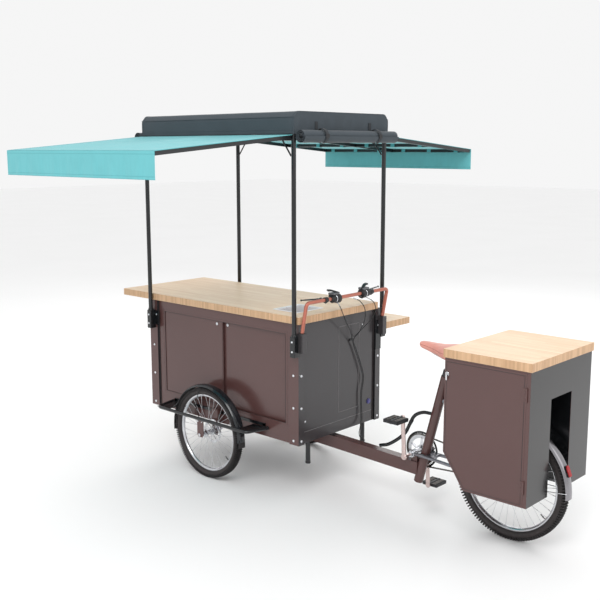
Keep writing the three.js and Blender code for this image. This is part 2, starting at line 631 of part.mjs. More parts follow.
add('box_frame', boxFrame(), blackPaint);
add('left_panel', leftPanel(), brownPaint);
add('right_panel', rightPanel(), brownPaint);
const END_PANEL_Y = [-END_PANEL_HALF, END_PANEL_HALF];
add('front_panel', block([PANEL_X0 + GAP, PANEL_X0 + SHEET], END_PANEL_Y, PANEL_Z), greyPaint);
add('rear_panel', block([PANEL_X1 - SHEET, PANEL_X1 - GAP], END_PANEL_Y, PANEL_Z), greyPaint);
add('door_front', slidingDoor(DOORWAY.x0 - DOOR.lap, OUTER_TRACK, -2), brownPaint);
add('door_rear', slidingDoor(DOORWAY.x1 + DOOR.lap - DOOR.width, INNER_TRACK, 83), brownPaint);

function counterTop() {
  const c = COUNTER;
  const s = SINK;
  const slab = block([c.x0, c.x1], [c.y0, c.y1], [c.z0, c.z1]);
  const holeX = [s.x0 + s.rim, s.x1 - s.rim];
  const holeY = [s.y0 + s.rim, s.y1 - s.rim];
  return cut(slab, block(holeX, holeY, [c.z0 - 5, c.z1 + 5]));
}

function sinkBasin() {
  const s = SINK;
  const top = COUNTER.z1 + GAP;
  const bottom = top - s.depth;
  const inside = (inset, zs) => block([s.x0 + inset, s.x1 - inset], [s.y0 + inset, s.y1 - inset], zs);
  const flange = inside(0, [top, top + 2]);
  const bowl = inside(s.rim + 1, [bottom, top + 1]);
  const space = inside(s.rim + 1 + s.t, [bottom + s.t, top + 20]);
  const drainPoint = (z) => vec((s.x0 + s.x1) / 2, (s.y0 + s.y1) / 2, z);
  const drain = bar(20, drainPoint(bottom - 50), drainPoint(bottom + 1), 12);
  const drainHole = bar(15, drainPoint(bottom - 60), drainPoint(bottom + 10), 12);
  return cut(join(flange, bowl, drain), space, drainHole);
}

add('counter_top', counterTop(), wood);
add('sink_basin', sinkBasin(), steel);

// The shelf board with the knuckles that turn beside those of the cabinet.
function foldingShelf() {
  const h = SHELF_HINGE;
  const board = block([SHELF.x0, SHELF.x1], [SHELF.y0, SHELF.y1], [SHELF.z0, SHELF.z1]);
  const knuckles = h.xs.flatMap((x) => {
    const [x0, x1] = [x + h.half + 2, x + h.half + 32];
    return [
      block([x0, x1], [h.y, SHELF.y0 + 14], [h.z - h.r + 1, SHELF.z0 + 1]),
      bar(h.r, vec(x0, h.y, h.z), vec(x1, h.y, h.z), 8),
    ];
  });
  return join(board, ...knuckles);
}
add('folding_shelf', foldingShelf(), wood);

for (const [name, side] of SIDES) {
  const half = LEG.side / 2;
  const ys = [side * LEG.y - half, side * LEG.y + half];
  const zs = [LEG.z0, LEG.z0 + LEG.length];
  add(`support_leg_${name}`, block([LEG.x - half, LEG.x + half], ys, zs), blackPaint);
}

// ---------------------------------------------------------------- handlebar, levers and cables
const LEVER = { x: 744, y: 212, z: 1234 }; // its pivot

function handlebar() {
  const h = HANDLEBAR;
  const slope = (h.xTop - h.xFoot) / (h.zTop - h.zFoot);
  const foot = (side) => vec(h.xFoot - slope * 1.7, side * h.y, h.zFoot - 1.7);
  const onBar = (y) => vec(h.xTop, y, h.zTop);
  const tube = bentTube([foot(-1), onBar(-h.y), onBar(h.y), foot(1)], h.r, h.bend);
  const controls = SIDES.flatMap(([, side]) => [
    bar(16, onBar(side * 205), onBar(side * 232), 12),
    bar(25, onBar(side * 90), onBar(side * 165), 12),
    block([LEVER.x + 9, h.xTop], [side * 208, side * 230], [LEVER.z - 8, LEVER.z + 8]),
  ]);
  return join(tube, ...controls);
}

function brakeLever(side) {
  const at = (x, y, z) => vec(x, side * y, z);
  const route = [at(LEVER.x, LEVER.y, LEVER.z), at(737, 250, 1236), at(731, 320, 1240), at(728, 372, 1243)];
  const blade = tubeAlong(route, 6, { steps: 6, sides: 6 });
  const knuckle = bar(9, at(LEVER.x, LEVER.y, LEVER.z - 7), at(LEVER.x, LEVER.y, LEVER.z + 7), 10);
  return join(blade, knuckle);
}

const CABLE_R = 2.6;
const cable = (route) => (
  tubeAlong(route.map(([x, y, z]) => vec(x, y, z)), CABLE_R, { steps: 26, sides: 6 })
);
const CLIP = { y: 98, z: 930 };

// The stretch that the rear brake and shift cables share: down the back of the cabinet and out under
// it to the boom, one cable beside the other.
const loomRoute = (offset) => [
  [739, CLIP.y + offset, CLIP.z], [733, CLIP.y + 32 + offset, 868], [733, CLIP.y + 90 + offset, 745],
  [733, CLIP.y + 114 + offset, 660], [733, CLIP.y + 96 + offset, 560], [733, CLIP.y + 100 + offset, 450],
  [738, CLIP.y + 96 + offset, 385], [753, CLIP.y + 69 + offset, 345], [791, CLIP.y + 12 + offset, 328],
  [846, CLIP.y - 46 + offset, 325], [905, CLIP.y - 84 + offset, 325],
];
const brakeRoute = [
  [800, -120, 1209], [804, -90, 1160], [790, -38, 1090], [762, 50, 1000], ...loomRoute(0),
];
const shiftRoute = [
  [800, 30, 1216], [812, 80, 1192], [814, 126, 1140], [797, 148, 1060], [764, 134, 980], ...loomRoute(11),
];
const frontBrakeRoute = [
  [800, 150, 1210], [820, 202, 1176], [820, 230, 1120], [800, 212, 1060], [764, 172, 1000], [736, 146, 962],
  [719, 140, 945],
];

add('handlebar', handlebar(), copper);
add('brake_lever_left', brakeLever(-1), blackPaint);
add('brake_lever_right', brakeLever(1), blackPaint);
add('cable_rear_brake', cable(brakeRoute), rubber);
add('cable_shift', cable(shiftRoute), rubber);
add('cable_front_brake', cable(frontBrakeRoute), rubber);

// ---------------------------------------------------------------- outriggers and front mudguards
function outrigger(side) {
  const f = FOOT_RAIL;
  const wall = side * (PANEL_Y + 1);
  const wallFace = [wall, side * (PANEL_Y + 7)];
  const railEnd = side * (PANEL_Y + 4);
  const corners = [
    vec(-f.wallX, railEnd, f.z), vec(-f.x, side * f.y, f.z),
    vec(f.x, side * f.y, f.z), vec(f.wallX, railEnd, f.z),
  ];
  const rail = bentTube(corners, f.r, 34, { sides: 8, bendSteps: 3 });
  const ends = [-1, 1].flatMap((end) => [
    block([end * 334, end * 440], [railEnd, side * (f.y - 4)], [f.z - 3, f.z + 2]),
    block([end * 20, end * 440], wallFace, [f.z + 6, f.z + 26]),
    block([end * 415, end * 440], wallFace, [f.z - 3, f.z + 26]),
  ]);
  const outerPlate = block([-28, 28], [side * 540, side * 548], [283, f.z]);
  const innerPlate = block([-30, 30], [side * 414, side * 420], [272, f.z + 40]);
  const spacer = block([-30, 30], [wall, side * 416], [f.z + 6, f.z + 40]);
  const axle = bar(AXLE_R, vec(0, side * 412, FRONT_WHEEL_R), vec(0, side * 556, FRONT_WHEEL_R), 8);
  return join(rail, ...ends, outerPlate, innerPlate, spacer, axle);
}

function frontMudguard(side) {
  const y = side * WHEEL_Y;
  const inner = FRONT_WHEEL_R + 14;
  const outer = FRONT_WHEEL_R + 22;
  const ring = turned([
    [inner, -24], [inner - 9, -31], [inner - 5, -33], [outer, -25],
    [outer, 25], [inner - 5, 33], [inner - 9, 31], [inner, 24],
  ], 0, y, FRONT_WHEEL_R, 40);
  return common(ring, block([-500, 500], [y - 60, y + 60], [FRONT_WHEEL_R - 4, 800]));
}

for (const [name, side] of SIDES) {
  add(`outrigger_${name}`, outrigger(side), blackPaint);
  add(`mudguard_${name}`, frontMudguard(side), blackPaint);
}

// ---------------------------------------------------------------- canopy
for (const [place, x] of [['front', POLE.xFront], ['rear', POLE.xRear]]) {
  for (const [name, side] of SIDES) {
    const foot = vec(x, side * POLE.y, POLE.z0 + 8.4);
    const head = vec(x, side * POLE.y, ROOF.z0 - GAP);
    add(`canopy_pole_${place}_${name}`, bar(POLE.r, foot, head, 12), blackPaint);
  }
}

// The roof's cross-section as [y, z], shrunk by inset, with its open edge lowered by drop.
function roofProfile(inset, drop) {
  const half = ROOF.half - inset;
  const [edge, shoulder, top] = [ROOF.z0 - drop, ROOF.zChamfer - inset * 0.4, ROOF.z1 - inset];
  return [
    [-half, edge], [half, edge], [half, shoulder],
    [half - ROOF.chamfer, top], [-half + ROOF.chamfer, top], [-half, shoulder],
  ];
}

function roofPrism(inset, drop) {
  const shape = new THREE.Shape(roofProfile(inset, drop).map(([y, z]) => new THREE.Vector2(y, z)));
  const depth = ROOF.x1 - ROOF.x0 - 2 * inset;
  const prism = new THREE.ExtrudeGeometry(shape, { depth, bevelEnabled: false });
  return prism.rotateX(Math.PI / 2).rotateZ(Math.PI / 2).translate(ROOF.x0 + inset, 0, 0);
}

// Two eaves tubes, four cross tubes, a brace down to each pole and the lugs that the awnings hang on.
function roofFrame() {
  const inset = ROOF_SHEET + GAP;
  const tube = 25;
  const [x0, x1, half] = [ROOF.x0 + inset, ROOF.x1 - inset, ROOF.half - inset];
  const zs = [ROOF.z0, ROOF.z0 + tube];
  const crossTubes = [x0, -212.5, 267.5, x1 - tube].map((x) => block([x, x + tube], [-half, half], zs));
  const pieces = [...crossTubes];
  const lugZ = AWNING_HINGE.z - 6;
  for (const [, side] of SIDES) {
    pieces.push(block([x0, x1], [side * (half - tube), side * half], zs));
    for (const [x, way] of [[POLE.xFront, 1], [POLE.xRear, -1]]) {
      const y = side * POLE.y;
      const poleEnd = vec(x + way * (POLE.r + 5.6), y, 2088);
      pieces.push(bar(5, vec(x + way * 118, y, ROOF.z0 + 4), poleEnd, 6));
    }
    for (const x of AWNING_LUGS) {
      const lugX = [x - 20, x + 20];
      const lugHinge = side * (AWNING_HINGE.y - 3);
      pieces.push(
        block(lugX, [side * 416, side * (half - 1)], [lugZ, ROOF.z0 + 2]),
        block(lugX, [side * 416, lugHinge], [lugZ, AWNING_HINGE.z + 8]),
      );
    }
  }
  return join(...pieces);
}

add('roof_cover', cut(roofPrism(0, 0), roofPrism(ROOF_SHEET, 40)), roofCloth);
add('roof_frame', roofFrame(), blackPaint);
for (const [place, x] of [['front', ROOF.x0 - ROLL.r - 2], ['rear', ROOF.x1 + ROLL.r + 2]]) {
  const roll = bar(ROLL.r, vec(x, -ROLL.half, ROLL.z), vec(x, ROLL.half, ROLL.z), 16);
  add(`curtain_roll_${place}`, roll, roofCloth);
}

// ---------------------------------------------------------------- awnings
const SLOPE = Math.atan2(AWNING.zIn - AWNING.zOut, AWNING.yOut - AWNING.yIn);
const REACH = Math.hypot(AWNING.yOut - AWNING.yIn, AWNING.zIn - AWNING.zOut);

// Tilts a piece drawn flat, outward from y = 0, into the awning's sloping plane on one side.
const tilted = (side, geometry) => (
  geometry.rotateX(-side * SLOPE).translate(0, side * AWNING.yIn, AWNING.zIn)
);
const outwardBox = (side, xs, outward, up) => block(xs, outward.map((d) => side * d), up);

// Three arms and three long bars, drawn flat with their outer faces 1 mm apart and then tilted.
function awningFrame(side) {
  const w = AWNING_TUBE;
  const [x0, x1] = [AWNING.x0 + 6, AWNING.x1 - 6];
  const arms = [x0, (x0 + x1 - w) / 2, x1 - w].map((x) => (
    outwardBox(side, [x, x + w], [2, REACH - 4], [-w, 0])
  ));
  const bars = [3, 516, REACH - 5 - w].map((out) => (
    outwardBox(side, [x0 + 1, x1 - 1], [out, out + w], [1 - w, -1])
  ));
  return tilted(side, join(...arms, ...bars));
}

for (const [name, side] of SIDES) {
  const xs = [AWNING.x0, AWNING.x1];
  const cloth = outwardBox(side, xs, [0, REACH], [GAP, CLOTH_T + GAP]);
  const outer = AWNING.yOut + 4;
  const valanceY = [side * (outer - CLOTH_T), side * outer];
  add(`awning_frame_${name}`, awningFrame(side), blackPaint);
  add(`awning_cloth_${name}`, tilted(side, cloth), canvas);
  add(`valance_${name}`, block(xs, valanceY, [AWNING.zOut - VALANCE_H, AWNING.zOut]), canvas);
}

export default cart;
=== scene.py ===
"""Looks of a pedal-driven vending tricycle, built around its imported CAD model.

Shapes are drawn in millimetres counted from the front axle: +X towards the saddle, -Y the rider's
left, +Z up. piece() turns them into the frame's metres.
"""
import math

import bmesh
import bpy
from mathutils import Matrix, Vector


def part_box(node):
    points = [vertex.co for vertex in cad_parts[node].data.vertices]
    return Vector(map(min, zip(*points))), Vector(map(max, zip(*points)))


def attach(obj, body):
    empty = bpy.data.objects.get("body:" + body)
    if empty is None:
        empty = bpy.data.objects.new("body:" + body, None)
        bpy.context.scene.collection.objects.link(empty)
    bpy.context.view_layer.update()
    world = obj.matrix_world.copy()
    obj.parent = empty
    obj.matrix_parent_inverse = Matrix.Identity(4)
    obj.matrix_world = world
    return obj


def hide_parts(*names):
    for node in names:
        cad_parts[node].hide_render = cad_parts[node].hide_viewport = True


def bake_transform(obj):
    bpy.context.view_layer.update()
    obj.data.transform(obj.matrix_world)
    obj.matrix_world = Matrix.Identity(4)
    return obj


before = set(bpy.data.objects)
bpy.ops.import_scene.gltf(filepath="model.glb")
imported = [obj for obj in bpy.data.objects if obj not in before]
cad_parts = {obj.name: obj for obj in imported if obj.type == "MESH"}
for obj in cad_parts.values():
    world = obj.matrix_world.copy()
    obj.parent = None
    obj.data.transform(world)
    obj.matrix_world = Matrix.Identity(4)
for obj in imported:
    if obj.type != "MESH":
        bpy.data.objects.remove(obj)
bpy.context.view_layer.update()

MM = 0.001
SIDES = (("left", -1), ("right", 1))


def middle(node):
    low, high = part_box(node)
    return (low + high) / 2


AXLE_X = middle("front_wheel_left").x


def millimetres(node):
    """A CAD node's lowest and highest corner in this script's own millimetres."""
    low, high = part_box(node)
    shift = Vector((AXLE_X, 0, 0))
    return (low - shift) / MM, (high - shift) / MM


# ---------------------------------------------------------------- camera, light and floor
CAMERA_AT = (3.6517, -4.2901, 2.1391)
CAMERA_YAW, CAMERA_PITCH, CAMERA_ROLL = (math.radians(a) for a in (42.603, -9.534, -0.074))
CAMERA_LENS = 54.64


def make_camera():
    data = bpy.data.cameras.new("camera")
    data.lens = CAMERA_LENS
    camera = bpy.data.objects.new("camera", data)
    bpy.context.scene.collection.objects.link(camera)
    turn = Matrix.Rotation(CAMERA_YAW, 4, "Z") @ Matrix.Rotation(math.pi / 2 + CAMERA_PITCH, 4, "X")
    camera.matrix_world = Matrix.Translation(CAMERA_AT) @ turn @ Matrix.Rotation(CAMERA_ROLL, 4, "Z")
    bpy.context.scene.camera = camera


def make_light(name, place, target, size, watts, colour=(1, 1, 1)):
    data = bpy.data.lights.new(name, "AREA")
    data.shape, data.size, data.energy, data.color = "DISK", size, watts, colour
    light = bpy.data.objects.new(name, data)
    light.location = place
    light.rotation_euler = (Vector(target) - Vector(place)).to_track_quat("-Z", "Y").to_euler()
    bpy.context.scene.collection.objects.link(light)


def make_studio():
    make_light("key", (3.2, -5.5, 6.5), (0, 0, 1), 4.5, 230)
    make_light("fill", (6.0, 1.5, 3.5), (0.3, 0, 0.8), 4.0, 45)
    make_light("back", (-3.5, 5.0, 5.5), (0, 0, 1.2), 4.5, 140)
    world = bpy.data.worlds.new("studio")
    world.use_nodes = True
    background = world.node_tree.nodes["Background"]
    background.inputs["Color"].default_value = (1.0, 1.0, 1.0, 1)
    background.inputs["Strength"].default_value = 0.92
    bpy.context.scene.world = world
    bpy.context.scene.view_settings.view_transform = "Standard"


# ---------------------------------------------------------------- materials
def linear(colour):
    """An sRGB colour, 0 to 255, as linear RGBA."""
    parts = [c / 255 for c in colour]
    return tuple(c / 12.92 if c < 0.04045 else ((c + 0.055) / 1.055) ** 2.4 for c in parts) + (1.0,)


class Look:
    """One Principled material with the texture nodes that vary it, in the piece's own coordinates."""

    def __init__(self, name, colour, rough, metal=0.0, **sockets):
        self.material = bpy.data.materials.new(name)
        self.material.use_nodes = True
        self.tree = self.material.node_tree
        self.shader = self.tree.nodes["Principled BSDF"]
        self.coords = self.tree.nodes.new("ShaderNodeTexCoord").outputs["Object"]
        self.colour = linear(colour)
        self.set("Base Color", self.colour)
        self.set("Roughness", rough)
        self.set("Metallic", metal)
        for socket, value in sockets.items():
            self.set(socket.replace("_", " "), value)

    def set(self, socket, value):
        if isinstance(value, bpy.types.NodeSocket):
            self.tree.links.new(value, self.shader.inputs[socket])
        else:
            self.shader.inputs[socket].default_value = value

    def node(self, kind, inputs=(), output=0, **settings):
        made = self.tree.nodes.new("ShaderNode" + kind)
        for key, value in settings.items():
            setattr(made, key, value)
        for key, value in dict(inputs).items():
            if isinstance(value, bpy.types.NodeSocket):
                self.tree.links.new(value, made.inputs[key])
            else:
                made.inputs[key].default_value = value
        return made.outputs[output]

    def stretched(self, scale):
        return self.node("Mapping", {"Vector": self.coords, "Scale": scale})

    def noise(self, scale, detail=3.0, stretch=(1, 1, 1)):
        place = self.stretched(stretch)
        return self.node("TexNoise", {"Vector": place, "Scale": scale, "Detail": detail})

    def waves(self, axis, period):
        """A sine wave along one axis, 0 to 1, with that period in metres."""
        return self.node(
            "TexWave", {"Vector": self.coords, "Scale": math.pi / (10 * period)}, 1, bands_direction=axis
        )

    def math(self, operation, a, b=0.0):
        return self.node("Math", {0: a, 1: b}, operation=operation)

    def ramp(self, value, low, high, to_low, to_high):
        return self.node("MapRange", {0: value, 1: low, 2: high, 3: to_low, 4: to_high})

    def blend(self, factor, first, second):
        mixed = self.tree.nodes.new("ShaderNodeMix")
        mixed.data_type = "RGBA"
        for socket, value in ((0, factor), (6, first), (7, second)):
            if isinstance(value, bpy.types.NodeSocket):
                self.tree.links.new(value, mixed.inputs[socket])
            else:
                mixed.inputs[socket].default_value = value
        return mixed.outputs[2]

    def bump(self, height, strength, depth):
        normal = self.node("Bump", {"Height": height, "Strength": strength, "Distance": depth})
        self.set("Normal", normal)

    def split(self, output):
        """The X, Y and Z sockets of one of the texture coordinates."""
        coords = self.tree.nodes.new("ShaderNodeTexCoord").outputs[output]
        parts = self.tree.nodes.new("ShaderNodeSeparateXYZ")
        self.tree.links.new(coords, parts.inputs[0])
        return parts.outputs

    def weighted(self, a, share_a, b, share_b):
        return self.math("ADD", self.math("MULTIPLY", a, share_a), self.math("MULTIPLY", b, share_b))

    def uneven_gloss(self, scale, detail, low, high):
        """Lets the roughness drift between low and high."""
        self.set("Roughness", self.ramp(self.noise(scale, detail), 0.3, 0.7, low, high))

    def orange_peel(self, low, high):
        """A sprayed coat's finish: gloss between two roughnesses and a faint relief."""
        self.uneven_gloss(9.0, 5.0, low, high)
        self.bump(self.noise(420.0, 2.0), 0.04, 0.0004)
        return self.material

    def shade(self, amount):
        """The base colour made lighter (over 1) or darker."""
        return tuple(min(1.0, c * amount) for c in self.colour[:3]) + (1.0,)

    def mottle(self, scale, spread, stretch=(1, 1, 1)):
        """Varies the base colour by plus and minus spread."""
        factor = self.ramp(self.noise(scale, 4.0, stretch), 0.3, 0.7, 0.0, 1.0)
        self.set("Base Color", self.blend(factor, self.shade(1 - spread), self.shade(1 + spread)))


THIN_COAT = {"Coat_Weight": 0.15, "Coat_Roughness": 0.12}


def powder_paint(name, colour, rough, metal=0.0):
    """Powder coat: a faint orange peel, a slightly uneven gloss and colour."""
    look = Look(name, colour, rough, metal, **THIN_COAT)
    look.mottle(2.5, 0.03)
    return look.orange_peel(rough * 0.92, rough * 1.1)


def polished_metal(name, colour, rough, brush=(1, 1, 1), metal=1.0):
    """Bright metal with fine lines along the stretched axis and cloudy handling marks."""
    look = Look(name, colour, rough, metal)
    look.mottle(14.0, 0.06)
    look.uneven_gloss(30.0, 4.0, rough * 0.7, rough * 1.5)
    look.bump(look.noise(260.0, 3.0, brush), 0.15, 0.0003)
    return look.material


def moulded(name, colour, rough):
    """Plastic or rubber with a fine matt grain."""
    look = Look(name, colour, rough)
    look.mottle(20.0, 0.12)
    look.uneven_gloss(60.0, 3.0, rough * 0.85, min(1.0, rough * 1.15))
    look.bump(look.noise(650.0, 3.0), 0.3, 0.0004)
    return look.material


def woven(name, colour, thread, sheen, cloud=0.05, depth=0.25):
    """Plain weave: threads over and under each other along X and Y, or X and Z on a hanging cloth."""
    look = Look(name, colour, 0.78, 0.0, Sheen_Weight=sheen, Sheen_Roughness=0.4)
    across = look.math("ADD", look.waves("Y", thread), look.waves("Z", thread))
    weave = look.math("MULTIPLY", look.waves("X", thread), across)
    fibre = look.noise(900.0, 2.0)
    tone = look.math("ADD", look.math("MULTIPLY", weave, 0.35), look.noise(5.0, 5.0))
    factor = look.ramp(tone, 0.35, 1.0, 0.0, 1.0)
    look.set("Base Color", look.blend(factor, look.shade(1 - cloud), look.shade(1 + cloud)))
    height = look.math("ADD", weave, look.math("MULTIPLY", fibre, 0.5))
    look.bump(height, depth, 0.0005)
    return look.material


def oak_boards(name):
    """Glued oak strips along X: each its own tone and long grain, a satin oil. Upright faces are darker with
    narrow strips, partly end grain and partly painted shade.
    """
    strip, length, end_strip = 0.042, 0.62, 0.011
    look = Look(name, (234, 204, 166), 0.42, 0.0, Coat_Weight=0.12, Coat_Roughness=0.3)
    x, y, _ = look.split("Object")
    row = look.math("FLOOR", look.math("DIVIDE", y, strip))
    shift = look.node("TexWhiteNoise", {"W": row}, noise_dimensions="1D")
    column = look.math("FLOOR", look.math("ADD", look.math("DIVIDE", x, length), shift))
    place = look.node("CombineXYZ", {0: row, 1: column})
    tone = look.node("TexWhiteNoise", {"Vector": place}, noise_dimensions="2D")
    moved = look.node("VectorMath", {0: look.coords, 1: place}, operation="ADD")
    stretched = look.node("Mapping", {"Vector": moved, "Scale": (3.0, 42.0, 42.0)})
    grain = look.node("TexNoise", {"Vector": stretched, "Scale": 1.6, "Detail": 6.0, "Distortion": 1.2})
    rings = look.node("TexWave", {"Vector": stretched, "Scale": 0.35, "Distortion": 7.0, "Detail": 3.0}, 1,
                      bands_direction="Y")
    figure = look.weighted(grain, 0.65, rings, 0.35)
    factor = look.ramp(look.weighted(tone, 0.24, figure, 0.76), 0.22, 0.78, 0.0, 1.0)
    top = look.blend(factor, linear((221, 183, 144)), linear((243, 216, 184)))
    end_row = look.math("FLOOR", look.math("DIVIDE", look.math("ADD", x, y), end_strip))
    end_tone = look.node("TexWhiteNoise", {"W": end_row}, noise_dimensions="1D")
    end_mix = look.weighted(end_tone, 0.7, look.noise(420.0, 3.0), 0.3)
    edge = look.blend(end_mix, linear((184, 146, 110)), linear((216, 178, 139)))
    # Partly painted shade: every upright face, the long-grain sides too, takes the darker end-grain colour,
    # so the sides read darker than the top.
    upright = look.ramp(look.math("ABSOLUTE", look.split("Normal")[2]), 0.5, 0.8, 0.0, 1.0)
    look.set("Base Color", look.blend(upright, edge, top))
    pores = look.noise(60.0, 5.0, (1.5, 26.0, 26.0))
    look.set("Roughness", look.ramp(pores, 0.3, 0.7, 0.38, 0.58))
    look.bump(look.math("ADD", pores, look.math("MULTIPLY", grain, 0.6)), 0.18, 0.0006)
    return look.material


def grained_leather(name, colour):
    look = Look(name, colour, 0.5, 0.0, Sheen_Weight=0.15)
    look.mottle(18.0, 0.09)
    cells = look.node("TexVoronoi", {"Vector": look.coords, "Scale": 620.0}, feature="DISTANCE_TO_EDGE")
    look.uneven_gloss(45.0, 4.0, 0.42, 0.62)
    look.bump(look.ramp(cells, 0.0, 0.12, 0.0, 1.0), 0.35, 0.0005)
    return look.material


def reflector_plastic(name, colour):
    """Red plastic over a grid of small prisms, with a painted glint: each prism's colour lighter or darker.
    """
    look = Look(name, colour, 0.3, 0.0, Coat_Weight=0.05, Coat_Roughness=0.05)
    facets = look.node("TexVoronoi", {"Vector": look.coords, "Scale": 260.0, "Randomness": 0.0})
    # Painted glint: the base colour runs from darker to lighter across each prism facet.
    painted_glint = look.ramp(facets, 0.0, 0.7, 0.0, 1.0)
    look.set("Base Color", look.blend(painted_glint, look.shade(0.55), look.shade(1.5)))
    look.bump(facets, 0.6, 0.001)
    return look.material


BROWN_COLOUR, GREY_COLOUR = (87, 60, 58), (56, 53, 55)
BROWN = powder_paint("brown_paint", BROWN_COLOUR, 0.2)
GREY = powder_paint("grey_paint", GREY_COLOUR, 0.24)
BLACK = powder_paint("black_paint", (20, 22, 25), 0.18)
COPPER = powder_paint("copper_paint", (186, 110, 92), 0.3, 0.45)
ALLOY = polished_metal("polished_alloy", (205, 206, 210), 0.2)
CHROME = polished_metal("chrome", (214, 215, 218), 0.1)
CHAIN_STEEL = polished_metal("chain_steel", (96, 92, 88), 0.34)
ZINC = polished_metal("bright_zinc", (238, 239, 243), 0.34)
SPOKE_STEEL = polished_metal("spoke_steel", (206, 206, 209), 0.34)
SINK_STEEL = polished_metal("sink_steel", (228, 225, 226), 0.36, (30, 1, 1), 0.25)
TREAD = moulded("tyre_rubber", (31, 27, 28), 0.6)
CASING = moulded("tyre_casing", (46, 40, 40), 0.62)
PLASTIC = moulded("black_plastic", (26, 26, 29), 0.42)
CABLE = moulded("cable_cover", (20, 20, 22), 0.3)
CANVAS = woven("awning_canvas", (104, 186, 192), 0.0016, 0.2)
ROOF_CLOTH = woven("roof_cloth", (58, 67, 74), 0.0022, 0.2, 0.08)
OAK = oak_boards("oak_boards")
LEATHER = grained_leather("saddle_leather", (228, 158, 144))
RED = reflector_plastic("red_lens", (146, 3, 12))


# ---------------------------------------------------------------- mesh making
class Shape:
    """Vertices and faces that become one piece."""

    def __init__(self):
        self.verts = []
        self.faces = []

    def add(self, made):
        verts, faces = made
        start = len(self.verts)
        self.verts += [Vector(v) for v in verts]
        self.faces += [tuple(start + i for i in face) for face in faces]
        return self

    def copy_of(self, made, matrix):
        verts, faces = made
        return self.add(([matrix @ Vector(v) for v in verts], faces))


def loft(rings, round_ring=True, round_rows=False, caps=True):
    """Quads between neighbouring rings of points."""
    count, rows = len(rings[0]), len(rings)
    faces = []
    for i in range(rows if round_rows else rows - 1):
        for j in range(count if round_ring else count - 1):
            a, b = i * count, (i + 1) % rows * count
            faces.append((a + j, a + (j + 1) % count, b + (j + 1) % count, b + j))
    if caps and round_ring and not round_rows:
        faces.append(tuple(range(count)))
        faces.append(tuple(range((rows - 1) * count, rows * count)))
    return [p for ring in rings for p in ring], faces


def angles(count):
    """Evenly spaced directions all the way round."""
    return [math.tau * i / count for i in range(count)]


def stations(low, high, steps):
    """Evenly spaced places from low to high."""
    return [low + (high - low) * i / steps for i in range(steps + 1)]


def oval(half_u, half_v, sides):
    return [(half_u * math.cos(a), half_v * math.sin(a)) for a in angles(sides)]


def circle(r, sides=16):
    return oval(r, r, sides)


def rectangle(half_u, half_v):
    return [(-half_u, -half_v), (half_u, -half_v), (half_u, half_v), (-half_u, half_v)]


def smooth_route(points, per=6):
    """A smooth curve through the points, in the same way as the CAD tubes run."""
    p = [Vector(q) for q in points]
    p = [2 * p[0] - p[1]] + p + [2 * p[-1] - p[-2]]
    out = []
    for i in range(1, len(p) - 2):
        for k in range(per):
            t = k / per
            a, b, c, d = p[i - 1:i + 3]
            out.append(0.5 * (2 * b + (c - a) * t + (2 * a - 5 * b + 4 * c - d) * t * t
                              + (3 * b - a - 3 * c + d) * t ** 3))
    return out + [p[-2]]


def rounded_route(corners, bend, steps=8):
    """Straight lengths between corners that are rounded off over the bend length."""
    c = [Vector(q) for q in corners]
    out = [c[0]]
    for i in range(1, len(c) - 1):
        start = c[i] + (c[i - 1] - c[i]).normalized() * bend
        end = c[i] + (c[i + 1] - c[i]).normalized() * bend
        for k in range(steps + 1):
            t = k / steps
            out.append(start.lerp(c[i], t).lerp(c[i].lerp(end, t), t))
    return out + [c[-1]]


def sweep(route, section, closed=False, sizes=None, up=(0, 0, 1)):
    """A section of (across, up) points carried along a route without twisting."""
    p = [Vector(q) for q in route]
    count = len(p)
    rings = []
    normal = None
    for i, q in enumerate(p):
        ahead = p[(i + 1) % count] if closed or i < count - 1 else q
        behind = p[i - 1] if closed or i > 0 else q
        along = (ahead - behind).normalized()
        if normal is None:
            normal = Vector(up).cross(along)
            if normal.length < 1e-3:
                normal = Vector((0, 1, 0)).cross(along)
        normal = (normal - along * normal.dot(along)).normalized()
        side = along.cross(normal)
        size = sizes[i] if sizes else 1
        rings.append([q + normal * u * size + side * v * size for u, v in section])
    return loft(rings, True, closed)


def tube(route, r, sides=14, closed=False, sizes=None):
    return sweep(route, circle(r, sides), closed, sizes)


def rod(a, b, r, sides=16, chamfer=0.8):
    """A straight round bar with softened ends."""
    a, b = Vector(a), Vector(b)
    along = (b - a).normalized() * min(chamfer, (b - a).length / 3)
    route = [a, a + along, b - along, b]
    return tube(route, r, sides, sizes=[1 - chamfer / r, 1, 1, 1 - chamfer / r])


def revolve(profile, centre, sides=48, axis="Y", wrap=True):
    """A closed (radius, along) profile turned about an axis through centre."""
    rings = []
    for i in range(sides):
        a = math.tau * i / sides
        c, s = math.cos(a), math.sin(a)
        ring = []
        for r, t in profile:
            offset = {"Y": (r * c, t, r * s), "Z": (r * c, r * s, t), "X": (t, r * c, r * s)}[axis]
            ring.append(Vector(centre) + Vector(offset))
        rings.append(ring)
    return loft(rings, wrap, True)


def from_bmesh(work):
    work.verts.ensure_lookup_table()
    made = [v.co.copy() for v in work.verts], [tuple(v.index for v in f.verts) for f in work.faces]
    work.free()
    return made


def block(low, high, r=1.5, steps=2):
    """A box with its edges rounded."""
    work = bmesh.new()
    bmesh.ops.create_cube(work, size=1)
    low, high = Vector(low), Vector(high)
    for v in work.verts:
        v.co = Vector([(low[i] + high[i]) / 2 + v.co[i] * abs(high[i] - low[i]) for i in range(3)])
    r = min(r, 0.45 * min(abs(high[i] - low[i]) for i in range(3)))
    bmesh.ops.bevel(work, geom=work.edges[:], offset=r, segments=steps, profile=0.5, affect="EDGES")
    work.verts.index_update()
    return from_bmesh(work)


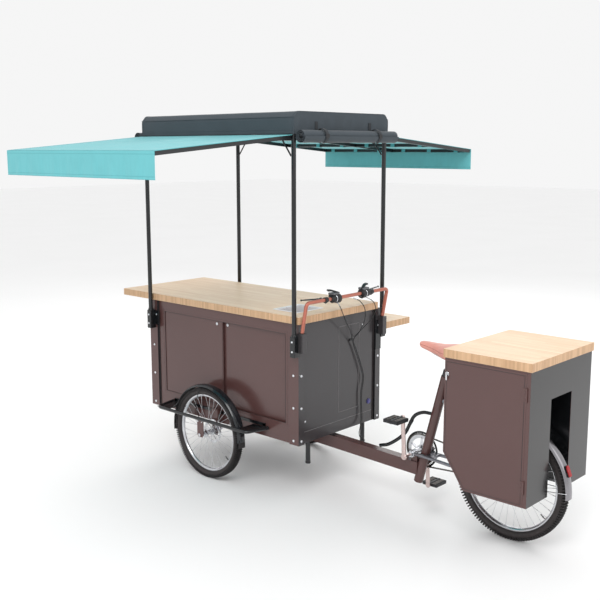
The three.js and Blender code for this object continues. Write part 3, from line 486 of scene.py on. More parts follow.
def slab(outline, low, high, axis="Y", r=1.0, steps=2):
    """A flat outline given thickness from low to high along an axis, with rounded edges."""
    def at(u, v, w):
        return {"Y": (u, w, v), "Z": (u, v, w), "X": (w, u, v)}[axis]
    work = bmesh.new()
    bottom = [work.verts.new(at(u, v, low)) for u, v in outline]
    top = [work.verts.new(at(u, v, high)) for u, v in outline]
    count = len(outline)
    caps = [work.faces.new(bottom), work.faces.new(top)]
    for i in range(count):
        work.faces.new((bottom[i], bottom[(i + 1) % count], top[(i + 1) % count], top[i]))
    if r:
        edges = {e for cap in caps for e in cap.edges}
        bmesh.ops.bevel(work, geom=list(edges), offset=r, segments=steps, profile=0.5, affect="EDGES")
    work.verts.index_update()
    return from_bmesh(work)


def dome(place, direction, r, height, sides=14):
    """A round bolt or rivet head that stands on a surface."""
    place, along = Vector(place), Vector(direction).normalized()
    steps = [(1.0, 0.0), (1.0, 0.35), (0.86, 0.72), (0.5, 0.95), (0.12, 1.0)]
    route = [place + along * height * h for _, h in steps]
    return tube(route, r, sides, sizes=[s for s, _ in steps])


def hex_nut(a, b, r):
    return tube([Vector(a), Vector(b)], r, 6)


def in_frame(point):
    return (point[0] * MM + AXLE_X, point[1] * MM, point[2] * MM)


def piece(name, shape, material, body, replaces=(), angle=38):
    """Makes an object of a shape, or of a list of made meshes, that rides on the body, if one is given."""
    if isinstance(shape, list):
        whole = Shape()
        for made in shape:
            whole.add(made)
        shape = whole
    mesh = bpy.data.meshes.new(name)
    mesh.from_pydata([in_frame(v) for v in shape.verts], [], shape.faces)
    work = bmesh.new()
    work.from_mesh(mesh)
    bmesh.ops.recalc_face_normals(work, faces=work.faces)
    work.to_mesh(mesh)
    work.free()
    mesh.polygons.foreach_set("use_smooth", [True] * len(mesh.polygons))
    mesh.set_sharp_from_angle(angle=math.radians(angle))
    mesh.materials.append(material)
    made = bpy.data.objects.new(name, mesh)
    bpy.context.scene.collection.objects.link(made)
    if body:
        made.modifiers.new("flat_faces", "WEIGHTED_NORMAL").keep_sharp = True
        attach(made, body)
    if replaces:
        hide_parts(*replaces)
    return made


def paint_cad(node, material, bevel=1.2, angle=30):
    """Keeps a CAD node, softens its edges and gives it its finished material."""
    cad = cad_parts[node]
    cad.data.materials.clear()
    cad.data.materials.append(material)
    cad.modifiers.new("weld", "WELD").merge_threshold = 1e-5
    flat = cad.modifiers.new("flat", "DECIMATE")
    flat.decimate_type = "DISSOLVE"
    flat.angle_limit = math.radians(0.5)
    if bevel:
        edge = cad.modifiers.new("edge", "BEVEL")
        edge.width, edge.segments = bevel * MM, 2
        edge.limit_method, edge.angle_limit = "ANGLE", math.radians(angle)
        cad.modifiers.new("flat_faces", "WEIGHTED_NORMAL").keep_sharp = True
    cad.data.polygons.foreach_set("use_smooth", [True] * len(cad.data.polygons))


# ---------------------------------------------------------------- wheels
FRONT_R, REAR_R = 300, 334
FRONT_BEAD, REAR_BEAD = 254, 282
FRONT_HUB, REAR_HUB = 48, 61
WHEEL_Y = 476
KNOB_HEIGHT, KNOB_HALF, KNOBS = 7.8, 4.0, 126
ROTOR_INBOARD = 39
REAR_X = 1950
SPOKES = 36


def polar(centre, r, angle, y):
    return Vector((centre[0] + r * math.cos(angle), y, centre[1] + r * math.sin(angle)))


def casing_shape(x, y, radius, bead):
    """The tyre's carcass: sidewalls with two raised rings each, and the crown that the knobs stand on."""
    crown = radius - KNOB_HEIGHT
    half = [(bead, 14), (bead + 5, 20), (bead + 12, 25.4), (bead + 20, 27), (crown - 14, 26.2),
            (crown - 9, 22.5), (crown - 4, 15.5), (crown - 1, 7)]
    profile = [(r, -t) for r, t in half] + [(crown, 0)] + [(r, t) for r, t in reversed(half)]
    shape = Shape().add(revolve(profile, (x, y, radius), 112))
    for side in (-1, 1):
        for rib, out in ((bead + 9, 23.0), (bead + 24, 26.4)):
            line = [(rib + 1.3 * u, side * out + 1.1 * v) for u, v in circle(1, 6)]
            shape.add(revolve(line, (x, y, radius), 96))
    return shape


def knob_shape(x, y, radius):
    """Six rows of tapered tread knobs, side by side across the tyre."""
    crown = radius - KNOB_HEIGHT
    rows = [(23.2, 4.4, crown - 12.0, radius - 2.6), (12.6, 3.1, crown - 3.5, radius - 1.4),
            (4.2, 3.0, crown - 1.5, radius - 0.3)]
    shape = Shape()
    for side in (-1, 1):
        for across, wide, low, high in rows:
            for angle in angles(KNOBS):
                rings = []
                for r, taper in ((low, 1.15), (high, 0.88)):
                    lean = 1.5 if across > 10 and r == low else 0
                    turn, half, row_y = KNOB_HALF / radius * taper, wide * taper, y + side * (across + lean)
                    rings.append([polar((x, radius), r, angle + a * turn, row_y + t * half)
                                  for a, t in ((-1, -1), (1, -1), (1, 1), (-1, 1))])
                shape.add(loft(rings))
    return shape


def rim_shape(x, y, radius, bead):
    r = bead - 0.4
    profile = [(r, -12.6), (r, -10.6), (r - 6, -9.6), (r - 8, 0), (r - 6, 9.6), (r, 10.6), (r, 12.6),
               (r - 6, 12.9), (r - 10, 9.5), (r - 14.6, 4.5), (r - 15.2, 0), (r - 14.6, -4.5), (r - 10, -9.5),
               (r - 6, -12.9)]
    return Shape().add(revolve(profile, (x, y, radius), 112))


def spoke_shape(x, y, radius, bead, hub_half):
    """Spokes that leave the hub's flanges nearly along them and cross on their way to the rim."""
    shape = Shape()
    centre = (x, radius)
    for i in range(SPOKES):
        rim_angle = math.tau * (i + 0.5) / SPOKES
        flange = y + (1 if i % 2 else -1) * hub_half * 0.62
        lean = math.radians(62) * (1 if i // 2 % 2 else -1)
        start = polar(centre, 23, rim_angle + lean, flange)
        end = polar(centre, bead - 15, rim_angle, y)
        shape.add(tube([start, end], 1.05, 6))
        shape.add(rod(end.lerp(start, 0.075), end, 1.9, 6, 0.3))
    return shape


def hub_shape(x, y, radius, half):
    flange = half * 0.62
    profile = [(7.6, -half), (10, -half), (13, -half + 3), (13, -flange - 4), (27, -flange - 1.6),
               (27.5, -flange), (27, -flange + 1.6), (15, -flange + 5), (13.4, 0), (15, flange - 5),
               (27, flange - 1.6), (27.5, flange), (27, flange + 1.6), (13, flange + 4), (13, half - 3),
               (10, half), (7.6, half)]
    return Shape().add(revolve(profile, (x, y, radius), 40))


def rotor_shape(x, y, radius):
    """A ventilated brake disc: a braking band on slanted arms round a carrier."""
    centre, arms = (x, radius), 9
    wave = [1 + 0.018 * math.cos(arms * a) for a in angles(90)]
    outer, inner = ([(w * u, w * v) for w, (u, v) in zip(wave, circle(r, 90))] for r in (79, 62))
    shape = Shape().add(annulus(outer, inner, y - 0.9, y + 0.9, centre))
    shape.add(revolve([(16, y - 2.2), (25, y - 2.2), (25, y + 2.2), (16, y + 2.2)], (x, 0, radius), 30))
    for i, a in enumerate(angles(arms)):
        arm = [polar(centre, 24, a, y), polar(centre, 44, a + 0.24, y), polar(centre, 63, a + 0.34, y)]
        shape.add(sweep(arm, rectangle(1.0, 2.6), up=(0, 1, 0)))
        if i % 3 == 0:
            shape.add(dome(polar(centre, 21, a, y), (0, -1 if y < 0 else 1, 0), 2.6, 1.8, 8))
    return shape


def annulus(outer, inner, y0, y1, centre):
    """A flat ring between two outlines of equally many (x, z) points."""
    rings = []
    for outline, y in ((outer, y0), (outer, y1), (inner, y1), (inner, y0)):
        rings.append([Vector((centre[0] + u, y, centre[1] + v)) for u, v in outline])
    return loft(rings, True, True)


def make_wheel(name, x, y, radius, bead, hub_half, body):
    casing = casing_shape(x, y, radius, bead)
    piece(f"{name}_casing", casing, CASING, body, [TYRE_NODE[name]], 50)
    piece(f"{name}_knobs", knob_shape(x, y, radius), TREAD, body)
    rim = rim_shape(x, y, radius, bead)
    piece(f"{name}_rim", rim, ALLOY, body, [WHEEL_NODE[name]], 40)
    piece(f"{name}_spokes", spoke_shape(x, y, radius, bead, hub_half), SPOKE_STEEL, body)
    piece(f"{name}_hub", hub_shape(x, y, radius, hub_half), ALLOY, body)
    stem = polar((x, radius), bead - 16, math.radians(-38), y)
    tip = polar((x, radius), bead - 48, math.radians(-38), y)
    piece(f"{name}_valve", [rod(stem, tip, 3.0, 10), rod(stem.lerp(tip, 0.35), stem.lerp(tip, 0.5), 4.2, 6)],
          PLASTIC, body)


TYRE_NODE = {"front_left": "front_tyre_left", "front_right": "front_tyre_right", "rear": "rear_tyre"}
WHEEL_NODE = {"front_left": "front_wheel_left", "front_right": "front_wheel_right", "rear": "rear_wheel"}


def make_wheels():
    for name, side in SIDES:
        y = side * WHEEL_Y
        body = f"{name}_front_wheel"
        make_wheel(f"front_{name}", 0, y, FRONT_R, FRONT_BEAD, FRONT_HUB, body)
        piece(f"rotor_{name}", rotor_shape(0, y - side * ROTOR_INBOARD, FRONT_R), CHROME, body)
    make_wheel("rear", REAR_X, 0, REAR_R, REAR_BEAD, REAR_HUB, "rear_wheel_set")
    outline = toothed(SPROCKET_TEETH, SPROCKET_R, 3.2, 3.0)
    bore = circle(20, len(outline))
    sprocket = annulus(outline, bore, CHAIN_Y - 1, CHAIN_Y + 1, (REAR_X, REAR_R))
    barrel = revolve([(9, CHAIN_Y - 12), (22, CHAIN_Y - 12), (22, CHAIN_Y + 3.5), (9, CHAIN_Y + 3.5)],
                     (REAR_X, 0, REAR_R), 28)
    piece("freewheel", [sprocket, barrel], CHAIN_STEEL, "rear_wheel_set")


# ---------------------------------------------------------------- drive
BB = Vector((1312, 0, 348))
CHAIN_Y = 56
CHAIN_PITCH = 12.7
CHAINRING_TEETH, SPROCKET_TEETH = 48, 18
CHAINRING_R = CHAINRING_TEETH * CHAIN_PITCH / math.tau
SPROCKET_R = SPROCKET_TEETH * CHAIN_PITCH / math.tau
CRANK_LENGTH, CRANK_TILT, CRANK_Y = 236, math.radians(3.6), 116
GUARD_R = 113
PEDAL_HALF = 52


def toothed(teeth, pitch_r, rise, root):
    """A sprocket's outline: tips that rise over the pitch circle and hollows under it."""
    outline = []
    for i in range(teeth):
        for share, r in ((0.0, pitch_r + rise), (0.16, pitch_r + rise * 0.8), (0.34, pitch_r - root),
                         (0.5, pitch_r - root * 1.3), (0.66, pitch_r - root), (0.84, pitch_r + rise * 0.8)):
            a = math.tau * (i + share) / teeth
            outline.append((r * math.cos(a), r * math.sin(a)))
    return outline


def chain_line():
    """The chain's closed pitch line as (x, z) points, evenly a pin's pitch apart."""
    line = []
    for centre_x, centre_z, r, start in ((BB.x, BB.z, CHAINRING_R, 90), (REAR_X, REAR_R, SPROCKET_R, -90)):
        for i in range(41):
            a = math.radians(start + i * 4.5)
            line.append(Vector((centre_x + r * math.cos(a), 0, centre_z + r * math.sin(a))))
    line.append(line[0])
    dense = []
    for a, b in zip(line, line[1:]):
        steps = max(1, int((b - a).length / 1.0))
        dense += [a.lerp(b, k / steps) for k in range(steps)]
    total = sum((b - a).length for a, b in zip(dense, dense[1:] + dense[:1]))
    pins = 2 * round(total / CHAIN_PITCH / 2)
    gap, travelled, out = total / pins, 0.0, []
    for a, b in zip(dense, dense[1:] + dense[:1]):
        while len(out) * gap <= travelled + (b - a).length and len(out) < pins:
            step = (b - a).length
            out.append(a.lerp(b, (len(out) * gap - travelled) / step) if step else a)
        travelled += (b - a).length
    return out


def chain_shape():
    pins = chain_line()
    shape = Shape()
    for i, pin in enumerate(pins):
        ahead = pins[(i + 1) % len(pins)]
        along = (ahead - pin).normalized()
        up = Vector((-along.z, 0, along.x))
        outline = []
        for end, turn in ((pin, math.pi), (ahead, 0)):
            for k in (-2, -1, 0, 1, 2):
                a = turn + k * math.pi / 5
                outline.append(end + (along * math.cos(a) + up * math.sin(a)) * 4.2)
        waist = pin.lerp(ahead, 0.5)
        outline = outline[:5] + [waist - up * 2.9] + outline[5:] + [waist + up * 2.9]
        reach = 3.7 if i % 2 else 2.4
        for side in (-1, 1):
            y = CHAIN_Y + side * reach
            rings = [[Vector((p.x, y + t, p.z)) for p in outline] for t in (-0.55, 0.55)]
            shape.add(loft(rings))
        for r, half, sides in ((3.8, 1.9, 8), (1.8, 4.6, 6)):
            a, b = pin.copy(), pin.copy()
            a.y, b.y = CHAIN_Y - half, CHAIN_Y + half
            shape.add(tube([a, b], r, sides))
    return shape


def flat_oval(half_u, half_v, sides=24):
    """A rounded, nearly rectangular section."""
    out = []
    for i in range(sides):
        c, s = math.cos(math.tau * i / sides), math.sin(math.tau * i / sides)
        out.append((half_u * math.copysign(abs(c) ** 0.55, c), half_v * math.copysign(abs(s) ** 0.55, s)))
    return out


def crank_end(side):
    reach = Vector((math.sin(CRANK_TILT), 0, -math.cos(CRANK_TILT))) * CRANK_LENGTH
    return Vector((BB.x, side * CRANK_Y, BB.z)) + reach * side


def make_cranks():
    """Both arms with their ends, the pedals' spindles and the axle."""
    arms = Shape()
    section = [(v, u) for u, v in flat_oval(13.6, 6.2)]
    swell = {0: 1.2, 0.08: 1.12, 0.25: 1.0, 0.5: 0.96, 0.75: 0.96, 0.92: 1.02, 1: 1.08}
    for _, side in SIDES:
        hub, end = Vector((BB.x, side * CRANK_Y, BB.z)), crank_end(side)
        arms.add(sweep([hub.lerp(end, t) for t in swell], section, sizes=list(swell.values()), up=(1, 0, 0)))
        for centre, r in ((hub, 18), (end, 15)):
            half = Vector((0, 7, 0))
            arms.add(rod(centre - half, centre + half, r, 28, 2.0))
        arms.add(rod(hub + Vector((0, side * 7, 0)), hub + Vector((0, side * 10, 0)), 9, 16))
        arms.add(rod(end, end + Vector((0, side * 107, 0)), 5, 14))
    axle = Vector((0, CRANK_Y + 6, 0))
    arms.add(rod(BB - axle, BB + axle, 8, 20))
    piece("crank_arms", arms, CRANK_ALLOY, "crank", ["crank_set"], 35)


def make_chainring():
    """The toothed ring on five arms with its bolts, and the guard round it."""
    outline = toothed(CHAINRING_TEETH, CHAINRING_R, 3.0, 3.0)
    inner_r = CHAINRING_R - 26
    centre = (BB.x, BB.z)
    arm_angles = [a + 0.3 for a in angles(5)]
    ring = Shape()
    ring.add(annulus(outline, circle(inner_r, len(outline)), CHAIN_Y - 1.1, CHAIN_Y + 1.1, centre))
    carrier = [(9, CHAIN_Y - 3), (30, CHAIN_Y - 3), (32, CHAIN_Y + 7), (9, CHAIN_Y + 7)]
    ring.add(revolve(carrier, (BB.x, 0, BB.z), 36))
    for a in arm_angles:
        stops = [polar(centre, r, a, CHAIN_Y + 3.4) for r in (26, 44, 62, inner_r + 8)]
        ring.add(sweep(stops, rectangle(2.2, 11), sizes=[1.5, 1.1, 0.95, 0.9], up=(0, 1, 0)))
        ring.add(dome(polar(centre, inner_r + 3, a, CHAIN_Y + 5.4), (0, 1, 0), 4, 3, 10))
        ring.add(dome(polar(centre, inner_r + 3, a, CHAIN_Y - 1.0), (0, -1, 0), 4, 2.5, 10))
    piece("chainring", ring, ALLOY, "crank")
    edge = [(-12, 61.6), (-3, 61.2), (0, 62.6), (0, 64.4), (-3, 65.8), (-12, 65.2)]
    guard = [revolve([(GUARD_R + dr, y) for dr, y in edge], (BB.x, 0, BB.z), 96)]
    for a in arm_angles:
        guard.append(tube([polar(centre, inner_r, a, 62.5), polar(centre, GUARD_R - 11, a, 63.4)], 2.6, 8))
    piece("chain_guard", guard, BLACK, "crank")


def make_drive():
    piece("chain_links", chain_shape(), CHAIN_STEEL, "rear_frame", ["drive_chain"], 30)
    make_cranks()
    make_chainring()
    for name, side in SIDES:
        make_pedal(name, side)


def make_pedal(name, side):
    """A cage pedal: two toothed plates on end caps round a spindle barrel, with steel cross ribs."""
    end = crank_end(side)
    body = f"{name}_pedal"

    def box(x0, x1, out0, out1, half_z, r=1.5):
        return block((end.x + x0, side * (CRANK_Y + out0), end.z - half_z),
                     (end.x + x1, side * (CRANK_Y + out1), end.z + half_z), r)

    inner, outer = 12, 124
    cage = Shape()
    for x in (-1, 1):
        low, high = sorted((x * PEDAL_HALF, x * (PEDAL_HALF - 9)))
        cage.add(box(low, high, inner + 3, outer - 3, 9, 2.5))
        for i in range(10):
            out = inner + 6 + i * 10.6
            cage.add(box(low + 1, high - 1, out, out + 5, 11.5, 1.2))
    wide = PEDAL_HALF - 1
    cage.add(box(-wide, wide, inner + 0.5, inner + 9, 10, 3))
    cage.add(box(-wide, wide, outer - 10, outer - 1, 10, 3))
    for out in (38, 62, 86):
        cage.add(box(9 - PEDAL_HALF, PEDAL_HALF - 9, out, out + 9, 8.5, 2))
    profile = [(6.8, side * (inner + 1)), (12, side * (inner + 1)), (12, side * (outer - 4)),
               (9, side * (outer - 1)), (6.8, side * (outer - 1))]
    cage.add(revolve(profile, (end.x, side * CRANK_Y, end.z), 24))
    piece(f"pedal_cage_{name}", cage, PLASTIC, body, [f"pedal_{name}"])
    ribs = [box(x - 2.4, x + 2.4, inner + 7, outer - 8, 10.5, 1) for x in (-37, -29, -21, 21, 29, 37)]
    piece(f"pedal_ribs_{name}", ribs, CHAIN_STEEL, body)


CRANK_ALLOY = polished_metal("crank_alloy", (214, 194, 190), 0.28)


# ---------------------------------------------------------------- rear frame
SEAT_FOOT = Vector((1335.7, 0, 175))
SEAT_LEAN = math.atan(0.262)
SEAT_TUBE_R, SEAT_TUBE_LENGTH = 28, 720
SEAT_POST_TOP = 790


def seat_point(along, y=0):
    return SEAT_FOOT + Vector((math.sin(SEAT_LEAN), 0, math.cos(SEAT_LEAN))) * along + Vector((0, y, 0))


def weld_bead(centre, direction, r, thick=2.6):
    """A rippled weld round a tube of radius r."""
    direction = Vector(direction).normalized()
    side = direction.orthogonal().normalized()
    up = direction.cross(side)
    route = []
    for a in angles(40):
        wide = r + 0.5 * math.sin(10 * a)
        route.append(Vector(centre) + (side * math.cos(a) + up * math.sin(a)) * wide)
    return sweep(route, circle(thick, 8), True, up=direction)


def make_rear_frame():
    paint_cad("main_boom", BROWN, 3.0)
    length, r = SEAT_TUBE_LENGTH, SEAT_TUBE_R
    wall = [seat_point(0), seat_point(1.2), seat_point(length - 27)]
    sizes = [1 - 1.2 / r, 1, 1]
    piece("seat_tube_wall", [tube(wall, r, 48, sizes=sizes)], BROWN, "rear_frame",
          ["seat_tube"])
    collar = [seat_point(length + along) for along in (-28, -25, 10, 13)]
    clamp = [tube(collar, 23, 40, sizes=[1.2, 1.04, 1.04, 0.95]),
             rod(seat_point(length + 2, -37), seat_point(length + 2, 37), 4, 12)]
    for side in (1, -1):
        clamp.append(hex_nut(seat_point(length + 2, side * 28), seat_point(length + 2, side * 35), 7))
    piece("seat_clamp", clamp, BLACK, "rear_frame")
    post = [rod(seat_point(540), seat_point(SEAT_POST_TOP - 1), 13.5, 32)]
    piece("seat_post_bar", post, CHROME, "seat", ["seat_post"])
    points = [(1046, 0, 330), (1110, 0, 352), (1180, 0, 400), (1234, 0, 452), (1266, 0, 512), (1300, 0, 570),
              (1360, 0, 602), (1429.5, 0, 606)]
    top = [tube(smooth_route(points, 8), 10.5, 20),
           tube([Vector((1270, 0, 520)), Vector((1281, 0, 540))], 11.6, 20),
           weld_bead((1422, 0, 606), (1, 0, 0.02), 10.5)]
    piece("top_tube_bend", top, BLACK, "rear_frame", ["top_tube"])
    stages = ((-34, 34, 21.4, 36), (-40, -33, 18, 24), (33, 42, 18, 24), (-62, -39, 15.5, 32),
              (-47, -42, 21, 36))
    shell = [rod((BB.x, y0, BB.z), (BB.x, y1, BB.z), r, sides) for y0, y1, r, sides in stages]
    piece("bottom_bracket", shell, ALLOY, "rear_frame")
    make_fork()
    make_rear_mudguard()


def make_fork():
    silver = Shape()
    for _, side in SIDES:
        dropout = Vector((REAR_X - 6, side * 74, REAR_R))
        bend = Vector((1450, side * 45, 350))
        front = Vector((BB.x + 24, side * 42.5, BB.z + 6))
        silver.add(tube(rounded_route([front, bend, dropout], 30), 10, 18))
        top, foot = Vector((1540, side * 44, 700)), Vector((REAR_X, side * 74, 346))
        silver.add(rod(top, foot, 7, 16))
        silver.add(rod(foot, (REAR_X, side * 90, 861), 7, 16))
        silver.add(rod((1740, side * 90, 861), (2190, side * 90, 861), 6.5, 16))
        silver.add(slab([(REAR_X - 24, 322), (REAR_X - 16, 314), (REAR_X + 14, 314), (REAR_X + 20, 324),
                         (REAR_X + 16, 362), (REAR_X - 14, 362), (REAR_X - 24, 348)],
                        side * 70, side * 77, "Y", 1.2))
        silver.add(weld_bead(foot.lerp(top, 0.03), top - foot, 6.5))
        silver.add(hex_nut((REAR_X, side * 77.4, REAR_R), (REAR_X, side * 83.5, REAR_R), 10))
    silver.add(rod((REAR_X, -84, REAR_R), (REAR_X, 84, REAR_R), 5.4, 12))
    silver.add(block((1402, -47, 342), (1458, 47, 358), 4))
    silver.add(rod((1540, -46, 700), (1540, 46, 700), 7, 16))
    silver.add(rod((1745, -91, 861), (1745, 91, 861), 6, 16))
    silver.add(rod((2186, -90, 861), (2186, -60, 861), 6, 16))
    silver.add(block((1490, -12, 690), (1545, 12, 710), 3))
    piece("fork_and_rack", silver, FORK_PAINT, "rear_frame", ["rear_fork"], 40)


FORK_PAINT = powder_paint("fork_paint", (128, 128, 134), 0.2, 0.75)


def mudguard_shape(centre, y, outer, half, drop, start, end, steps=56, t=1.8):
    """A rolled steel guard: a crowned strip whose edges turn in, with a bead along each edge."""
    section = [(outer - drop * abs(s) ** 3.2, half * s) for s in stations(-1, 1, 14)]
    section += [(r - t, w * 0.965) for r, w in reversed(section)]
    turns = [math.radians(a) for a in stations(start, end, steps)]
    shape = Shape().add(loft([[polar(centre, r, a, y + w) for r, w in section] for a in turns]))
    for side in (-1, 1):
        shape.add(tube([polar(centre, outer - drop - 0.6, a, y + side * (half - 1)) for a in turns], 1.6, 8))
    return shape


def make_rear_mudguard():
    centre = (REAR_X, REAR_R)
    guard = mudguard_shape(centre, 0, REAR_R + 15.6, 33.4, 11, -3, 158, 72)
    piece("rear_guard", guard, GUARD_PAINT, "rear_frame", ["rear_mudguard"])
    stays = Shape()
    for angle in (3, 64, 118):
        a = math.radians(angle)
        for side in (-1, 1):
            stops = ((14, 79), (REAR_R - 30, 40), (REAR_R + 4, 33))
            route = [polar(centre, r, a, side * y) for r, y in stops]
            stays.add(tube(rounded_route(route, 18), 2.4, 10))
            stays.add(dome(polar(centre, REAR_R + 4, a, side * 31), (0, side, 0), 4, 4, 10))
    piece("rear_guard_stays", stays, CHROME, "rear_frame")
    angle = math.radians(22)
    turn = Matrix.Translation(polar(centre, REAR_R + 23, angle, 0)) @ Matrix.Rotation(-angle, 4, "Y")
    lens = slab([(-13, -30), (13, -30), (15, 14), (9, 30), (-9, 30), (-15, 14)], -0.5, 5.4, "X", 1.6)
    back = slab([(-14, -31), (14, -31), (16, 15), (10, 31), (-10, 31), (-16, 15)], -5.4, -0.6, "X", 1.0)
    piece("reflector_lens", Shape().copy_of(lens, turn), RED, "rear_frame", ["tail_reflector"])
    piece("reflector_back", Shape().copy_of(back, turn), BLACK, "rear_frame")


GUARD_PAINT = powder_paint("guard_paint", (140, 138, 142), 0.2, 0.9)


# ---------------------------------------------------------------- saddle
SADDLE_X0, SADDLE_X1 = 1331, 1605


def saddle_row(x):
    """Half width, top height and bottom height of the padding at one place along the saddle."""
    stops = [(1331, 9, 1019, 1001), (1337, 16, 1026, 994), (1350, 21, 1030, 988), (1385, 25, 1031, 980),
             (1420, 30, 1030, 971), (1455, 40, 1029, 963), (1485, 54, 1029, 956), (1515, 73, 1031, 950),
             (1545, 85, 1035, 947), (1575, 88, 1039, 947), (1592, 79, 1039, 950), (1601, 60, 1034, 958),
             (1605, 30, 1026, 972)]
    for (x0, *low), (x1, *high) in zip(stops, stops[1:]):
        if x <= x1:
            t = (x - x0) / (x1 - x0)
            t = t * t * (3 - 2 * t) * 0.4 + t * 0.6
            return [a + (b - a) * t for a, b in zip(low, high)]
    return stops[-1][1:]


def saddle_rings():
    """The padding's sections from nose to tail, with its middle groove and creases."""
    rows, around = 56, 40
    rings = []
    for i in range(rows + 1):
        x = SADDLE_X0 + (SADDLE_X1 - SADDLE_X0) * (0.5 - 0.5 * math.cos(math.pi * i / rows))
        half, top, bottom = saddle_row(x)
        middle_z = top - 0.42 * (top - bottom)
        ring = []
        for a in angles(around):
            c, s = math.cos(a), math.sin(a)
            across = math.copysign(abs(c) ** 0.72, c) * half
            if s >= 0:
                z = middle_z + (top - middle_z) * s ** 0.75
                groove = math.exp(-(across / 9) ** 2) * 3.2 * min(1, max(0, (x - 1360) / 60))
                crease = 0.5 * math.sin(x * 0.21 + across * 0.16) * (1 - s)
                z += crease - groove
            else:
                z = middle_z + (middle_z - bottom) * math.copysign(abs(s) ** 0.5, s)
                across *= 1 - 0.16 * abs(s)
            ring.append(Vector((x, across, z)))
        rings.append(ring)
    return rings


def make_saddle():
    pad = piece("saddle_cover", [loft(saddle_rings())], LEATHER, "seat", ["saddle"], 60)
    seam = Shape()
    edge = [(x, *saddle_row(x)) for x in (SADDLE_X0 + 2 + i * 5.3 for i in range(52))]
    for side in (-1, 1):
        line = [Vector((x, side * (half - 0.5), top - 0.45 * (top - bottom)))
                for x, half, top, bottom in edge]
        seam.add(tube(smooth_route(line, 2), 1.5, 8))
    piece("saddle_piping", seam, LEATHER_EDGE, "seat")
    rails = Shape()
    for side in (-1, 1):
        route = [(x, side * y, z) for x, y, z in ((1366, 8, 1004), (1400, 14, 988), (1446, 20, 968),
                                                  (1496, 22, 956), (1540, 22, 955), (1578, 40, 966))]
        rails.add(tube(smooth_route(route, 6), 3.5, 12))
        coil = []
        for i in range(97):
            a = math.tau * i / 16
            coil.append(Vector((1572 + 13 * math.cos(a), side * 56 + 13 * math.sin(a), 951 + 0.17 * i)))
        rails.add(tube(coil, 2.4, 8))
    clamp_at = seat_point(SEAT_POST_TOP)
    rails.add(block((clamp_at.x - 24, -29, 947), (clamp_at.x + 24, 29, 957), 3))
    rails.add(rod((clamp_at.x, -32, 951), (clamp_at.x, 32, 951), 4, 12))
    piece("saddle_rails", rails, CHROME, "seat")


LEATHER_EDGE = grained_leather("leather_edge", (176, 104, 90))


# ---------------------------------------------------------------- rear storage box
BOX_DOOR_Y = 334


def edge_strip(outline, y, side, wide=3.0, proud=0.7):
    """A thin raised line that follows an outline of (x, z) points on a face across Y."""
    shape = Shape()
    for a, b in zip(outline, outline[1:] + outline[:1]):
        a, b = Vector((a[0], 0, a[1])), Vector((b[0], 0, b[1]))
        along = (b - a).normalized()
        up = Vector((-along.z, 0, along.x)) * wide / 2
        past = along * wide / 2
        corners = [a - past - up, b + past - up, b + past + up, a - past + up]
        levels = sorted((y - side * 0.4, y + side * proud))
        shape.add(loft([[Vector((p.x, level, p.z)) for p in corners] for level in levels]))
    return shape


def make_rear_box():
    paint_cad("rear_box_shell", box_paint("box_shell_paint"), 0.5)
    low, high = millimetres("rear_box_lid")
    piece("box_lid_board", [block(low, high, 2.2, 2)], OAK, "rear_frame", ["rear_box_lid"])
    for name, side in SIDES:
        body = f"{name}_box_door"
        paint_cad(f"rear_box_door_{name}", BROWN, 0.5)
        y = side * BOX_DOOR_Y
        outline = [(1733, 1027), (1733, 537), (1857, 357), (2189, 357), (2189, 1027)]
        # Painted shade: a dark strip round the door's edge stands in for the shade in the gap between door
        # and shell.
        gap_shade = edge_strip(outline, y, side, 2.2, 0.5)
        piece(f"box_door_gap_shade_{name}", gap_shade, SHADE_LINE, body)
        hinges = Shape()
        for z in (450, 930):
            for dz in (-20, 0, 20):
                hinges.add(dome((2189, y + side * 3, z + dz), (0, side, 0), 3.4, 1.6, 10))
            hinges.add(rod((2203.5, y + side * 5, z - 36), (2203.5, y + side * 5, z + 36), 4.6, 14))
        piece(f"box_hinge_pins_{name}", hinges, BROWN, body)
        make_latch(name, side)


def make_latch(name, side):
    """A handle that hangs from a round boss, and turns."""
    def at(out, z):
        return 1738, side * (BOX_DOOR_Y + out), z
    rose = rod(at(0.4, 962), at(4, 962), 12, 32, 1.2)
    neck = rod(at(3, 962), at(9, 962), 7, 24)
    route = smooth_route([at(9, 968), at(11, 955), at(10, 930)], 6)
    handle = sweep(route, oval(5, 3, 16), up=(0, 1, 0))
    piece(f"latch_handle_{name}", [rose, neck, handle], CHROME, f"{name}_latch",
          [f"box_latch_{name}"])


def box_paint(name):
    """Paint that is grey on the faces across X, brown on those across Y and dark in the wheel's tunnel."""
    look = Look(name, BROWN_COLOUR, 0.2, 0.0, **THIN_COAT)
    x, y, _ = look.split("Object")
    across = look.ramp(look.math("ABSOLUTE", look.split("Normal")[0]), 0.6, 0.72, 0.0, 1.0)
    cloud = look.ramp(look.noise(2.5, 4.0), 0.3, 0.7, 0.0, 1.0)
    brown = look.blend(cloud, look.shade(0.97), look.shade(1.03))
    grey = look.blend(cloud, linear((30, 28, 29)), linear((33, 31, 32)))
    tunnel_y = look.math("LESS_THAN", look.math("ABSOLUTE", y), TUNNEL_HALF * MM)
    tunnel_x = look.math("LESS_THAN", x, TUNNEL_END * MM + AXLE_X)
    tunnel = look.math("MULTIPLY", tunnel_y, tunnel_x)
    look.set("Base Color", look.blend(tunnel, look.blend(across, brown, grey), linear((16, 17, 19))))
    return look.orange_peel(0.18, 0.23)


TUNNEL_HALF, TUNNEL_END = 124.5, 2221.5
# Painted shade: a near-black strip laid in gaps and seams where shade falls.
SHADE_LINE = moulded("painted_shade_line", (34, 28, 28), 0.5)


# ---------------------------------------------------------------- cabinet
PANEL_Y, BOX_HALF = 385, 397
BOX_X0, BOX_X1 = -678, 730
PANEL_REAR_X = 716
POLE_X, POLE_Y = (-634, 720), 424


def bolt_head(place, direction, r=8.0):
    return dome(place, direction, r, 4.6, 18)


